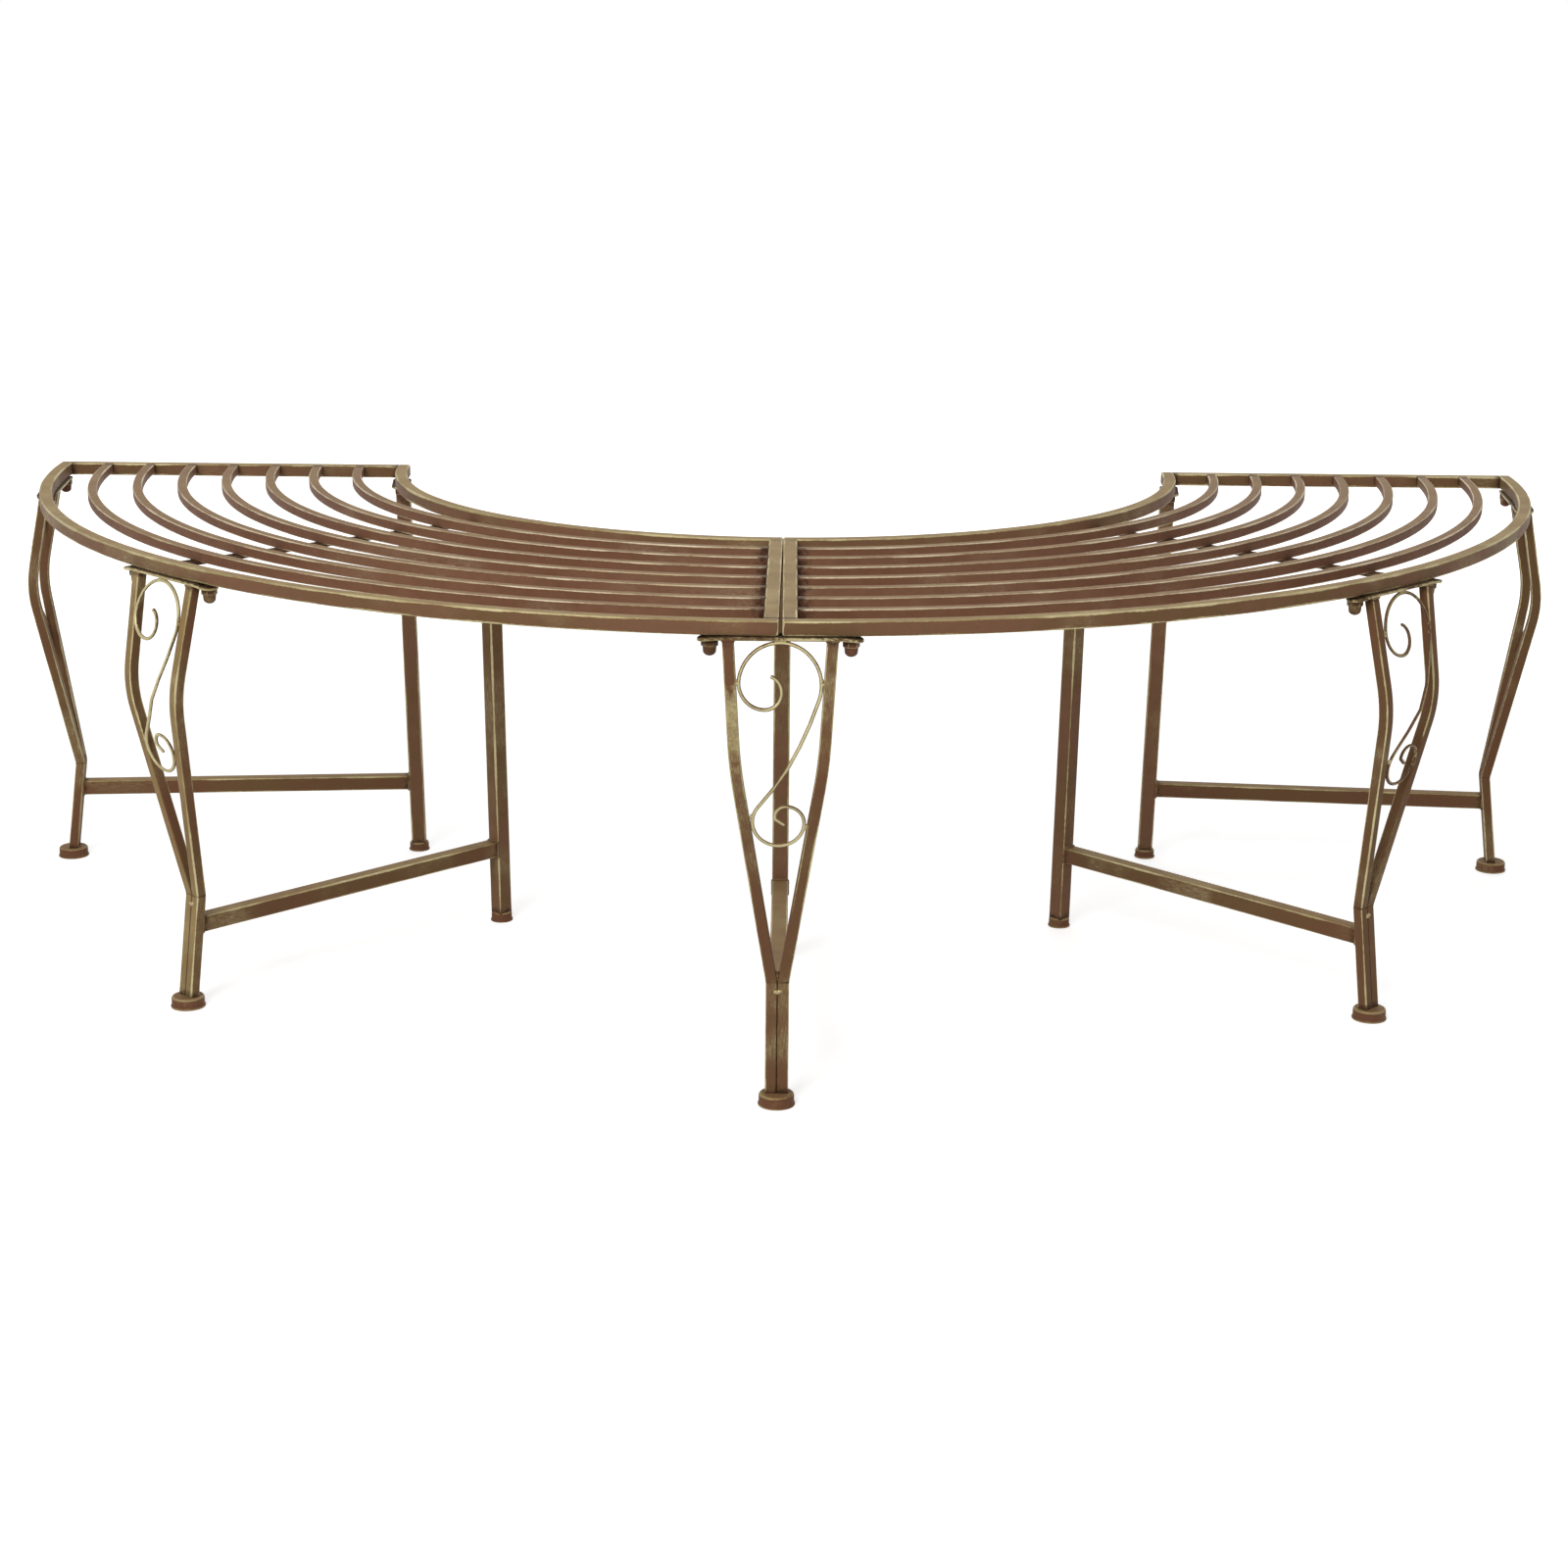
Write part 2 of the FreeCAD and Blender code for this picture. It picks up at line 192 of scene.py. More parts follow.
# The gold band on the front leg, in metres: its height above the floor and its reach
GOLD_BAND_HEIGHT = 0.345
GOLD_BAND_REACH = 0.045


def seat_place(turn=0):
    """From millimetres about the ring's centre at seat level to the frame, after a turn."""
    middle = Vector((0, RING_CENTRE_Y, SEAT_HEIGHT)) * MM
    return Matrix.Translation(middle) @ Matrix.Rotation(radians(turn), 4, "Z") @ Matrix.Scale(MM, 4)


def level_arm(angle):
    """A level direction, at an angle in radians."""
    return Vector((cos(angle), sin(angle), 0))


def new_object(name, data):
    made = bpy.data.objects.new(name, data)
    bpy.context.collection.objects.link(made)
    return made


def leg_point(across, out, height):
    return Vector((across, -out, height))


class Skin:
    """Points and faces of one piece, with what its finish needs at each point."""

    def __init__(self):
        self.points = []
        self.faces = []
        self.edge = []
        self.nook = []
        self.wrap = []
        self.run = []

    def add(self, point, from_edge, wrap=0.0, run=0.0, nook=0.0):
        """Adds a point: its distance from an edge, its place on the skin and its share of dirt and painted
        shade.
        """
        self.points.append(Vector(point))
        self.edge.append(1 - from_edge / EDGE_REACH)
        self.nook.append(nook)
        self.wrap.append(wrap)
        self.run.append(run)
        return len(self.points) - 1

    def loops(self, rings, close_start=True, close_end=True, middle_distance=None):
        """Joins rings of equal length into a skin and closes its ends with a fan."""
        size = len(rings[0])
        for low, high in zip(rings, rings[1:]):
            for k in range(size):
                n = (k + 1) % size
                self.faces.append((low[k], low[n], high[n], high[k]))
        for ring, is_start, wanted in ((rings[0], True, close_start), (rings[-1], False, close_end)):
            if not wanted:
                continue
            centre = sum((self.points[i] for i in ring), Vector()) / size
            far = middle_distance or max((self.points[i] - centre).length for i in ring)
            hub = self.add(centre, far, self.wrap[ring[0]], self.run[ring[0]], self.nook[ring[0]])
            for k in range(size):
                n = (k + 1) % size
                self.faces.append((ring[n], ring[k], hub) if is_start else (ring[k], ring[n], hub))

    def piece(self, name, place, slot, material, nodes=()):
        """Makes the object, standing in for its nodes where it has some."""
        mesh = bpy.data.meshes.new(name)
        mesh.from_pydata([place @ point for point in self.points], [], self.faces)
        mesh.validate()
        for label, values in (("edge", self.edge), ("nook", self.nook)):
            mesh.attributes.new(label, "FLOAT", "POINT").data.foreach_set("value", values)
        skin = mesh.uv_layers.new(name="skin")
        for loop in mesh.loops:
            i = loop.vertex_index
            skin.data[loop.index].uv = (self.wrap[i], self.run[i])
        mesh.shade_smooth()
        mesh.materials.append(material)
        obj = new_object(name, mesh)
        even = obj.modifiers.new("even_faces", "WEIGHTED_NORMAL")
        even.weight = 80
        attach(obj, "root")
        if nodes:
            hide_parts(*nodes)


def merge(skins):
    """Several skins as one."""
    whole = Skin()
    for skin in skins:
        base = len(whole.points)
        for name in ("points", "edge", "nook", "wrap", "run"):
            getattr(whole, name).extend(getattr(skin, name))
        whole.faces += [tuple(i + base for i in face) for face in skin.faces]
    return whole


def rounded_section(width, height, corner, steps=4):
    """Points round a bar's section with their distance from the nearest corner line."""
    section = []
    across = width / 2 - corner
    up = height / 2 - corner
    for quarter, (a, b) in enumerate([(1, 1), (-1, 1), (-1, -1), (1, -1)]):
        for k in range(steps + 1):
            angle = radians(90 * quarter + 90 * k / steps)
            spot = (a * across + corner * cos(angle), b * up + corner * sin(angle))
            section.append((*spot, corner * radians(90) * abs(k / steps - 0.5)))
        half = up if quarter % 2 else across
        middle = [(0, height / 2), (-width / 2, 0), (0, -height / 2), (width / 2, 0)][quarter]
        section.append((*middle, corner * radians(45) + half))
    return section


def bar(stations, width, height, corner, open_start=False, open_end=False, reach=NOOK_REACH):
    """A rounded bar through stations of (centre, across, up).

    Free ends are closed and eased. Open ends are welded to another piece, so the coat gets
    dirtier and darker with painted shade towards them, from as far off as reach.
    """
    skin = Skin()
    length = sum((b[0] - a[0]).length for a, b in zip(stations, stations[1:]))
    section = rounded_section(width, height, corner)
    rings = []
    run = 0.0
    ease = corner * 0.7
    end_steps = [(1.0, 0.5), (0.3, 0.0), (0.0, 0.5)]

    def ring(centre, across, up, shrink, distance):
        ids = []
        from_joint = min(run if open_start else reach, length - run if open_end else reach)
        nook = 1 - min(from_joint / reach, 1)
        wrap = 0.0
        last = None
        for a, b, from_edge in section:
            spot = Vector((a * (1 - 2 * shrink / width), b * (1 - 2 * shrink / height), 0))
            wrap += (spot - last).length if last else 0
            last = spot
            edge = from_edge if distance is None else min(from_edge, distance)
            ids.append(skin.add(centre + across * spot.x + up * spot.y, edge, wrap, run, nook))
        return ids

    count = len(stations)
    for i, (centre, across, up) in enumerate(stations):
        ahead = (stations[min(i + 1, count - 1)][0] - stations[max(i - 1, 0)][0]).normalized()
        run += (centre - stations[i - 1][0]).length if i else 0
        at_start = i == 0 and not open_start
        at_end = i == count - 1 and not open_end
        if not (at_start or at_end):
            rings.append(ring(centre, across, up, 0, None))
            continue
        inward = ahead * ease if at_start else -ahead * ease
        for back, distance in reversed(end_steps) if at_start else end_steps:
            rings.append(ring(centre + inward * back, across, up, ease * (1 - back), ease * distance))
    skin.loops(rings, not open_start, not open_end, min(width, height) / 2)
    return skin


def add_near_ends(stations):
    """Adds stations near both ends, where the finish changes quickly."""
    start, across, up = stations[0]
    ahead = (stations[1][0] - start).normalized()
    first = [(start + ahead * s, across, up) for s in NEAR_END]
    stop, across, up = stations[-1]
    ahead = (stop - stations[-2][0]).normalized()
    last = [(stop - ahead * s, across, up) for s in reversed(NEAR_END)]
    return first + stations[1:-1] + last


def straight_stations(start, stop, across):
    up = across.cross((stop - start).normalized())
    return add_near_ends([(start, across, up), (stop, across, up)])


def arc_stations(radius, start, stop, height, step=1.5):
    """Stations along the curve of the seat, between two angles from +X."""
    near = [degrees(s / radius) for s in NEAR_END]
    low, high = start + near[-1], stop - near[-1]
    count = max(2, ceil((high - low) / step))
    angles = [start + a for a in near[:-1]] + [low + (high - low) * k / count for k in range(count + 1)]
    angles += [stop - a for a in reversed(near[:-1])]
    stations = []
    for angle in map(radians, angles):
        out = level_arm(angle)
        stations.append((out * radius + UP * height, out, UP))
    return stations


def bent_stations(points, radii, across, step=3.0):
    """Stations along a tube bent round its inner points, with its faces kept untwisted."""
    up = across.cross((points[1] - points[0]).normalized()).normalized()
    stations = [(points[0], across, up)]
    for before, corner, after, radius in zip(points, points[1:], points[2:], radii):
        come = (corner - before).normalized()
        leave = (after - corner).normalized()
        turn = come.angle(leave)
        start = corner - come * radius * tan(turn / 2)
        axis = come.cross(leave).normalized()
        centre = start + axis.cross(come) * radius
        count = max(2, ceil(degrees(turn) / step))
        stations.append((start - come * NEAR_BEND, across, up))
        for k in range(count + 1):
            spin = Matrix.Rotation(turn * k / count, 3, axis)
            stations.append((centre + spin @ (start - centre), spin @ across, spin @ up))
        across = spin @ across
        up = spin @ up
        stations.append((stations[-1][0] + leave * NEAR_BEND, across, up))
    stations.append((points[-1], across, up))
    return stations


# Finishes: shared effects

def fill(tree, made, **values):
    """Sets or links a node's inputs: i6 is input 6, and an underscore stands for a space."""
    for key, value in values.items():
        socket = made.inputs[int(key[1:])] if key[1:].isdigit() else made.inputs[key.replace("_", " ")]
        if isinstance(value, bpy.types.NodeSocket):
            tree.links.new(value, socket)
        else:
            socket.default_value = value


def node(tree, kind, settings=None, **values):
    """Makes a node with its settings and inputs, and gives its outputs."""
    made = tree.nodes.new(kind)
    for key, value in (settings or {}).items():
        setattr(made, key, value)
    fill(tree, made, **values)
    return made.outputs


def maths(tree, operation, first, second=0.0, third=0.0):
    return node(tree, "ShaderNodeMath", {"operation": operation}, i0=first, i1=second, i2=third)[0]


def times(tree, first, second):
    return maths(tree, "MULTIPLY", first, second)


def spread(tree, value, low, high, to_low=0.0, to_high=1.0):
    """A smooth step from to_low to to_high, as the value goes from low to high."""
    made = node(tree, "ShaderNodeMapRange", {"interpolation_type": "SMOOTHSTEP"}, Value=value,
                From_Min=low, From_Max=high, To_Min=to_low, To_Max=to_high)
    return made["Result"]


def object_place(tree):
    return node(tree, "ShaderNodeTexCoord")["Object"]


def painted(tree, label):
    """A value that each point of the mesh carries."""
    return node(tree, "ShaderNodeAttribute", {"attribute_name": label})["Fac"]


def speckle(tree, scale, detail=3.0, roughness=0.55, where=None):
    """Noise with about as many specks in a metre as its scale says."""
    where = object_place(tree) if where is None else where
    made = node(tree, "ShaderNodeTexNoise", Vector=where, Scale=scale, Detail=detail, Roughness=roughness)
    return made["Fac"]


def blend_colours(tree, factor, first, second):
    return node(tree, "ShaderNodeMix", {"data_type": "RGBA"}, i0=factor, i6=first, i7=second)[2]


def shared_effect(*outputs, **inputs):
    """Makes a node group of the function under it, which turns a tree and inputs into outputs."""
    kinds = {3: "NodeSocketVector", 4: "NodeSocketColor"}

    def build(effect):
        tree = bpy.data.node_groups.new(effect.__name__, "ShaderNodeTree")
        for label, value in inputs.items():
            kind = kinds[len(value)] if isinstance(value, tuple) else "NodeSocketFloat"
            socket = tree.interface.new_socket(label.replace("_", " "), in_out="INPUT", socket_type=kind)
            socket.default_value = value
        for label in outputs:
            kind = "NodeSocketColor" if label == "Color" else "NodeSocketFloat"
            tree.interface.new_socket(label, in_out="OUTPUT", socket_type=kind)
        start = tree.nodes.new("NodeGroupInput")
        end = tree.nodes.new("NodeGroupOutput")
        for socket, result in zip(end.inputs, effect(tree, *start.outputs[:len(inputs)])):
            tree.links.new(result, socket)
        return tree

    return build


@shared_effect("Mask", Width=1.6, Raggedness=0.6, Strength=1.0)
def edge_rub(tree, width, raggedness, strength):
    """How much gold is rubbed on along the corner lines of a piece."""
    distance = times(tree, maths(tree, "SUBTRACT", 1.0, painted(tree, "edge")), EDGE_REACH)
    coarse = spread(tree, speckle(tree, 14.0, detail=2.0), 0.34, 0.68)
    fine = spread(tree, speckle(tree, 260.0, detail=4.0), 0.3, 0.72)
    uneven = maths(tree, "MULTIPLY_ADD", fine, 0.4, times(tree, coarse, 0.9))
    change = times(tree, maths(tree, "SUBTRACT", uneven, 0.65), raggedness)
    reach = times(tree, width, maths(tree, "ADD", 1.0, change))
    mask = spread(tree, distance, times(tree, reach, 0.55), reach, 1.0, 0.0)
    return [times(tree, mask, strength)]


@shared_effect("Mask", Cover=0.3, Patch_Scale=5.0, Strength=0.7, Band_Cover=0.0)
def dry_brush(tree, cover, patch_scale, strength, band_cover):
    """Patches of gold dragged along the faces with a nearly dry brush, and a fuller band of it."""
    height = node(tree, "ShaderNodeSeparateXYZ", Vector=object_place(tree))["Z"]
    from_band = maths(tree, "ABSOLUTE", maths(tree, "SUBTRACT", height, GOLD_BAND_HEIGHT))
    from_band = maths(tree, "MULTIPLY_ADD", speckle(tree, 110.0), GOLD_BAND_REACH, from_band)
    near_band = spread(tree, from_band, GOLD_BAND_REACH * 0.85, GOLD_BAND_REACH * 1.35, 1.0, 0.0)
    band = times(tree, near_band, band_cover)
    limit = maths(tree, "SUBTRACT", 0.78, times(tree, maths(tree, "ADD", cover, band), 0.5))
    cloud = speckle(tree, patch_scale, roughness=0.6)
    patch = spread(tree, cloud, maths(tree, "SUBTRACT", limit, 0.1), maths(tree, "ADD", limit, 0.08))
    skin = node(tree, "ShaderNodeUVMap", {"uv_map": "skin"})["UV"]
    along = node(tree, "ShaderNodeMapping", Vector=skin, Scale=(0.9, 0.06, 1.0))[0]
    streak = spread(tree, speckle(tree, 1.6, detail=5.0, roughness=0.65, where=along), 0.35, 0.7)
    streak = maths(tree, "MAXIMUM", streak, times(tree, band, 0.8))
    grit = spread(tree, speckle(tree, 420.0), 0.35, 0.65, 0.55, 1.0)
    mask = times(tree, times(tree, patch, streak), grit)
    return [times(tree, mask, strength)]


@shared_effect("Color", First=(0.1, 0.05, 0.03, 1), Second=(0.1, 0.07, 0.03, 1))
def mottle(tree, first, second):
    """A slow drift between two tones, with a fine cloud over it."""
    slow = spread(tree, speckle(tree, 7.0, detail=2.0), 0.35, 0.65)
    cloud = spread(tree, speckle(tree, 90.0, detail=4.0, roughness=0.6), 0.3, 0.7)
    share = maths(tree, "MULTIPLY_ADD", cloud, 0.35, times(tree, slow, 0.65))
    return [blend_colours(tree, share, first, second)]


@shared_effect("Height", "Roughness Change", Gloss_Change=0.1)
def coat_texture(tree, gloss_change):
    """The fine orange peel of a powder coat, as a height and a change of gloss."""
    lumps = speckle(tree, 180.0)
    height = maths(tree, "MULTIPLY_ADD", speckle(tree, 900.0, detail=2.0), 0.6, times(tree, lumps, 0.5))
    return [height, times(tree, maths(tree, "SUBTRACT", lumps, 0.5), gloss_change)]


@shared_effect("Mask", Strength=0.5, Toward=(0, 0, 1))
def gold_dust_and_painted_light(tree, strength, toward):
    """Gold on the faces that look one way: dust and painted sheen on the tops if nothing else is set, painted
    light toward a lit side otherwise.
    """
    normal = node(tree, "ShaderNodeTexCoord")["Normal"]
    facing = node(tree, "ShaderNodeVectorMath", {"operation": "DOT_PRODUCT"}, i0=normal, i1=toward)
    cloud = spread(tree, speckle(tree, 22.0, detail=5.0, roughness=0.65), 0.3, 0.7, 0.55, 1.0)
    mask = times(tree, spread(tree, facing["Value"], 0.55, 0.97), cloud)
    return [times(tree, mask, strength)]


@shared_effect("Mask", Strength=0.8)
def nook_shade(tree, strength):
    """Bare, dirty coat near the joints and in gaps, where no gold was rubbed on, darkened further as painted
    shade.
    """
    ragged = spread(tree, speckle(tree, 240.0), 0.3, 0.7, -0.25, 0.25)
    mask = spread(tree, maths(tree, "ADD", painted(tree, "nook"), ragged), 0.15, 1.05)
    return [times(tree, mask, strength)]


# Finishes: the coat and its gold

RED_BROWN = (0.165, 0.072, 0.037)
OLIVE_BROWN = (0.160, 0.093, 0.038)
MAUVE_BROWN = (0.215, 0.104, 0.059)
DEEP_BROWN = (0.105, 0.045, 0.023)
# NOOK_BROWN is the dark of dirt and painted shade near joints and in gaps
NOOK_BROWN = (0.030, 0.014, 0.008)
DUST_AND_PAINTED_LIGHT_GOLD = (0.46, 0.335, 0.135)
DARK_GOLD = (0.20, 0.145, 0.055)
OLD_GOLD = (0.33, 0.255, 0.095)
PALE_GOLD = (0.70, 0.60, 0.34)
BEIGE_GOLD = (0.42, 0.32, 0.165)
GREEN_GOLD = (0.42, 0.36, 0.165)
WIRE_GOLD = (0.29, 0.235, 0.10)
WIRE_LIGHT_GOLD = (0.50, 0.43, 0.21)
CREAM_GOLD = (0.76, 0.64, 0.45)
LEG_BROWNS = (RED_BROWN, OLIVE_BROWN)
AGED_GOLDS = (OLD_GOLD, PALE_GOLD)
GREEN_GOLDS = (GREEN_GOLD, PALE_GOLD)
LEG_LOOK = {"browns": LEG_BROWNS, "edge": (1.0, 1.2, 1.0), "dust_and_sheen": 0.45}
# On the wire the edge rub is a gold line down its front: partly rubbed gold and partly a painted highlight,
# with painted shade at its sides
WIRE_LOOK = {
    "browns": (DEEP_BROWN, OLIVE_BROWN), "golds": GREEN_GOLDS, "brush": (0.5, 14.0, 0.6),
    "dust_and_sheen": 0.15, "roughness": 0.42,
}

# How coat and gold take the light; COAT_DEPTH is in metres
# LIT_SIDE_FACING: faces that look this way get painted light as gold
LIT_SIDE_FACING = (-0.8, -0.6, 0.0)
# NOOK_STRENGTH is how dark the dirt and painted shade near joints get
NOOK_STRENGTH = 0.85
GLOSS_CHANGE = 0.2
GOLD_GLOSS = -0.08
GOLD_HEIGHT = 0.25
GOLD_METAL = 0.3
COAT_BUMP = 0.3
COAT_DEPTH = 0.0003
COAT_SPECULAR = 0.12


def group_in(tree, group, **values):
    return node(tree, "ShaderNodeGroup", {"node_tree": group}, **values)


def two_tones(tree, tones):
    return group_in(tree, mottle, First=(*tones[0], 1), Second=(*tones[1], 1))["Color"]


def antique_finish(name, browns, golds=AGED_GOLDS, *, edge, brush,
                   dust_and_sheen=0.0, roughness=0.58, lit_side_paint=0.0, band=0.0):
    """Brown powder coat with gold dust and painted sheen on its tops, painted light on one side where asked,
    antique gold rubbed over its edges and dragged on its faces, and dirt and painted shade near joints.

    edge is the rub's width, raggedness and strength. brush is the share of the faces that is
    covered, the patches in a metre and their strength.
    """
    material = bpy.data.materials.new(f"{name}_finish")
    material.use_nodes = True
    tree = material.node_tree
    # Gold dust with painted sheen on the tops, and painted light on the side that faces LIT_SIDE_FACING
    dust_and_painted_light = group_in(tree, gold_dust_and_painted_light, Strength=dust_and_sheen)["Mask"]
    lit_side = group_in(tree, gold_dust_and_painted_light, Strength=lit_side_paint, Toward=LIT_SIDE_FACING)["Mask"]
    dust_and_painted_light = maths(tree, "MAXIMUM", dust_and_painted_light, lit_side)
    coat = blend_colours(tree, dust_and_painted_light, two_tones(tree, browns), (*DUST_AND_PAINTED_LIGHT_GOLD, 1))
    rub = group_in(tree, edge_rub, Width=edge[0], Raggedness=edge[1], Strength=edge[2])
    drag = group_in(tree, dry_brush, Cover=brush[0], Patch_Scale=brush[1], Strength=brush[2], Band_Cover=band)
    worn = maths(tree, "MAXIMUM", rub["Mask"], drag["Mask"])
    # Dirt and painted shade near joints and in gaps: no gold there, and NOOK_BROWN over the coat
    nook = group_in(tree, nook_shade, Strength=NOOK_STRENGTH)["Mask"]
    worn = times(tree, worn, maths(tree, "SUBTRACT", 1.0, nook))
    colour = blend_colours(tree, worn, coat, two_tones(tree, golds))
    colour = blend_colours(tree, nook, colour, (*NOOK_BROWN, 1))
    texture = group_in(tree, coat_texture, Gloss_Change=GLOSS_CHANGE)
    gloss = maths(tree, "ADD", texture["Roughness Change"], roughness)
    gloss = maths(tree, "MULTIPLY_ADD", worn, GOLD_GLOSS, gloss)
    height = maths(tree, "MULTIPLY_ADD", worn, GOLD_HEIGHT, texture["Height"])
    bump = node(tree, "ShaderNodeBump", Strength=COAT_BUMP, Distance=COAT_DEPTH, Height=height)
    fill(tree, tree.nodes["Principled BSDF"], Base_Color=colour, Roughness=gloss,
         Metallic=times(tree, worn, GOLD_METAL), Normal=bump["Normal"],
         Specular_IOR_Level=COAT_SPECULAR)
    return material


rim_finish = antique_finish(
    "rim", (MAUVE_BROWN, OLIVE_BROWN), edge=(1.3, 1.3, 0.95), brush=(0.38, 9.0, 0.65), dust_and_sheen=0.70)
slat_finish = antique_finish(
    "slat", (MAUVE_BROWN, RED_BROWN), (BEIGE_GOLD, CREAM_GOLD),
    edge=(0.85, 1.2, 1.0), brush=(0.3, 5.0, 0.5), dust_and_sheen=0.38)
# Painted shade: the strip under the slats is kept dark as their shadow
shaded_strip_finish = antique_finish(
    "strip", (NOOK_BROWN, DEEP_BROWN), (DARK_GOLD, OLD_GOLD),
    edge=(0.5, 1.2, 0.4), brush=(0.2, 5.0, 0.4))
leg_finish = antique_finish("leg", **LEG_LOOK, brush=(0.31, 8.0, 0.7))
rubbed_leg_finish = antique_finish(
    "rubbed_leg", **LEG_LOOK, golds=GREEN_GOLDS, brush=(0.31, 8.0, 1.0), band=1.0)
# Painted light: a lit copy of the leg finish, with more gold and gold on the side toward LIT_SIDE_FACING
lit_leg_finish = antique_finish("lit_leg", **LEG_LOOK, brush=(0.4, 8.0, 0.6), lit_side_paint=0.5)
inner_leg_finish = antique_finish(
    "inner_leg", (MAUVE_BROWN, OLIVE_BROWN), edge=(1.1, 1.2, 0.9), brush=(0.42, 8.0, 0.65), dust_and_sheen=0.45)
stretcher_finish = antique_finish(
    "stretcher", LEG_BROWNS, edge=(1.0, 1.2, 0.9), brush=(0.35, 8.0, 0.6), dust_and_sheen=0.45)
wire_finish = antique_finish("wire", **WIRE_LOOK, edge=(1.4, 0.9, 1.0))
# Painted light: a lit copy of the wire finish, whose wider gold line is a painted highlight that leaves
# painted shade on the far edge
lit_wire_finish = antique_finish("lit_wire", **WIRE_LOOK, edge=(2.8, 0.9, 1.0))
# Painted shade: a shaded copy of the wire finish, in darker browns and golds
shaded_wire_finish = antique_finish(
    "shaded_wire", (DEEP_BROWN, RED_BROWN), (WIRE_GOLD, WIRE_LIGHT_GOLD),
    edge=(1.1, 2.0, 0.8), brush=(0.35, 10.0, 0.6), dust_and_sheen=0.15, roughness=0.42)
strap_finish = antique_finish(
    "strap", (DEEP_BROWN, OLIVE_BROWN), edge=(1.3, 1.2, 1.0), brush=(0.4, 16.0, 0.6), dust_and_sheen=0.3)
nut_finish = antique_finish(
    "nut", (DEEP_BROWN, RED_BROWN), edge=(0.7, 1.3, 0.5), brush=(0.34, 60.0, 0.8), roughness=0.4)
foot_finish = antique_finish(
    "foot", (RED_BROWN, RED_BROWN), (OLD_GOLD, BEIGE_GOLD),
    edge=(1.1, 1.5, 0.75), brush=(0.4, 25.0, 0.65), dust_and_sheen=0.3)
bead_finish = antique_finish(
    "bead", LEG_BROWNS, edge=(1.0, 1.0, 0.85), brush=(0.6, 90.0, 0.9), dust_and_sheen=0.2, roughness=0.42)
# Pieces with their own finish: lit and shaded copies as painted light and shade, and the centre tube with its
# gold band
SPECIAL_FINISHES = {
    "left_mid_leg_tube_a": lit_leg_finish,
    "left_mid_leg_tube_b": lit_leg_finish,
    "centre_leg_tube_a": rubbed_leg_finish,
    "left_mid_scroll": lit_wire_finish,
    "right_mid_scroll": shaded_wire_finish,
}


# The seat

def seat_side(side, sign):
    """One quarter of the seat: rims, slats, end bars and the strip under the slats."""
    place = seat_place() @ Matrix.Diagonal((sign, 1, 1, 1))
    seam = SEAM_GAP / 2

    def put(skin, part, material):
        """Eases the skin to the seam's real line and makes the piece, mirrored on the left."""
        near_seam = RIM_SIDE * 2
        for i, spot in enumerate(skin.points):
            # The faces at the seam are painted dark as the shade in the gap
            if spot.x < seam + SEAM_FACE:
                skin.nook[i] = 1.0
            if spot.x < near_seam:
                away = (SEAT_RADIUS - hypot(spot.x, spot.y)) / (SEAT_RADIUS - TREE_RADIUS)
                shift = SEAM_OPENING - (SEAM_OPENING + SEAM_CLOSING) * min(away / SEAM_CLOSED_FROM, 1)
                spot.x += shift * (1 - max(0, spot.x) / near_seam)
        if sign < 0:
            skin.faces = [tuple(reversed(face)) for face in skin.faces]
        skin.piece(f"{side}_{part}_skin", place, "seat_paint", material, [f"{side}_{part}"])

    for part, radius in (("outer_rim", OUTER_RIM_MID), ("inner_rim", INNER_RIM_MID)):
        start = -90 + degrees(asin(seam / radius))
        arc = arc_stations(radius, start, 0, -RIM_SIDE / 2)
        put(bar(arc, RIM_SIDE, RIM_SIDE, RIM_CORNER), part, rim_finish)
    hidden = RIM_SIDE - SUNK_END
    for number in range(SLAT_COUNT):
        radius = TREE_RADIUS + RIM_SIDE - SLAT_SIDE / 2 + SLAT_PITCH * (number + 1)
        start = -90 + degrees(asin((seam + hidden) / radius))
        stop = -degrees(asin(hidden / radius))
        arc = arc_stations(radius, start, stop, -SLAT_SIDE / 2)
        # The slat ends by the bars get dirt and painted shade over SLAT_NOOK_REACH
        slat = bar(arc, SLAT_SIDE, SLAT_SIDE, SLAT_CORNER, True, True, SLAT_NOOK_REACH)
        put(slat, f"slat_{number + 1}", slat_finish)
    low = TREE_RADIUS + hidden
    high = SEAT_RADIUS - hidden
    for part, spot, out, across in (
        ("seam_bar", Vector((seam + RIM_SIDE / 2, 0, -RIM_SIDE / 2)), Vector((0, -1, 0)), ACROSS),
        ("free_bar", Vector((0, -RIM_SIDE / 2, -RIM_SIDE / 2)), ACROSS, Vector((0, 1, 0))),
    ):
        stations = straight_stations(spot + out * low, spot + out * high, across)
        put(bar(stations, RIM_SIDE, RIM_SIDE, RIM_CORNER, True, True), part, rim_finish)
    out = level_arm(radians(-CROSS_ANGLE))
    across = Vector((-out.y, out.x, 0))
    under = UP * (-(RIM_SIDE + SLAT_SIDE) / 2)
    stations = straight_stations(out * low + under, out * high + under, across)
    strip = bar(stations, CROSS_WIDTH, RIM_SIDE - SLAT_SIDE, CROSS_CORNER, True, True)
    # The strip under the slats, painted dark as the shade it lies in
    put(strip, "cross_strip", shaded_strip_finish)


for side, sign in (("right", 1), ("left", -1)):
    seat_side(side, sign)


# The leg frames

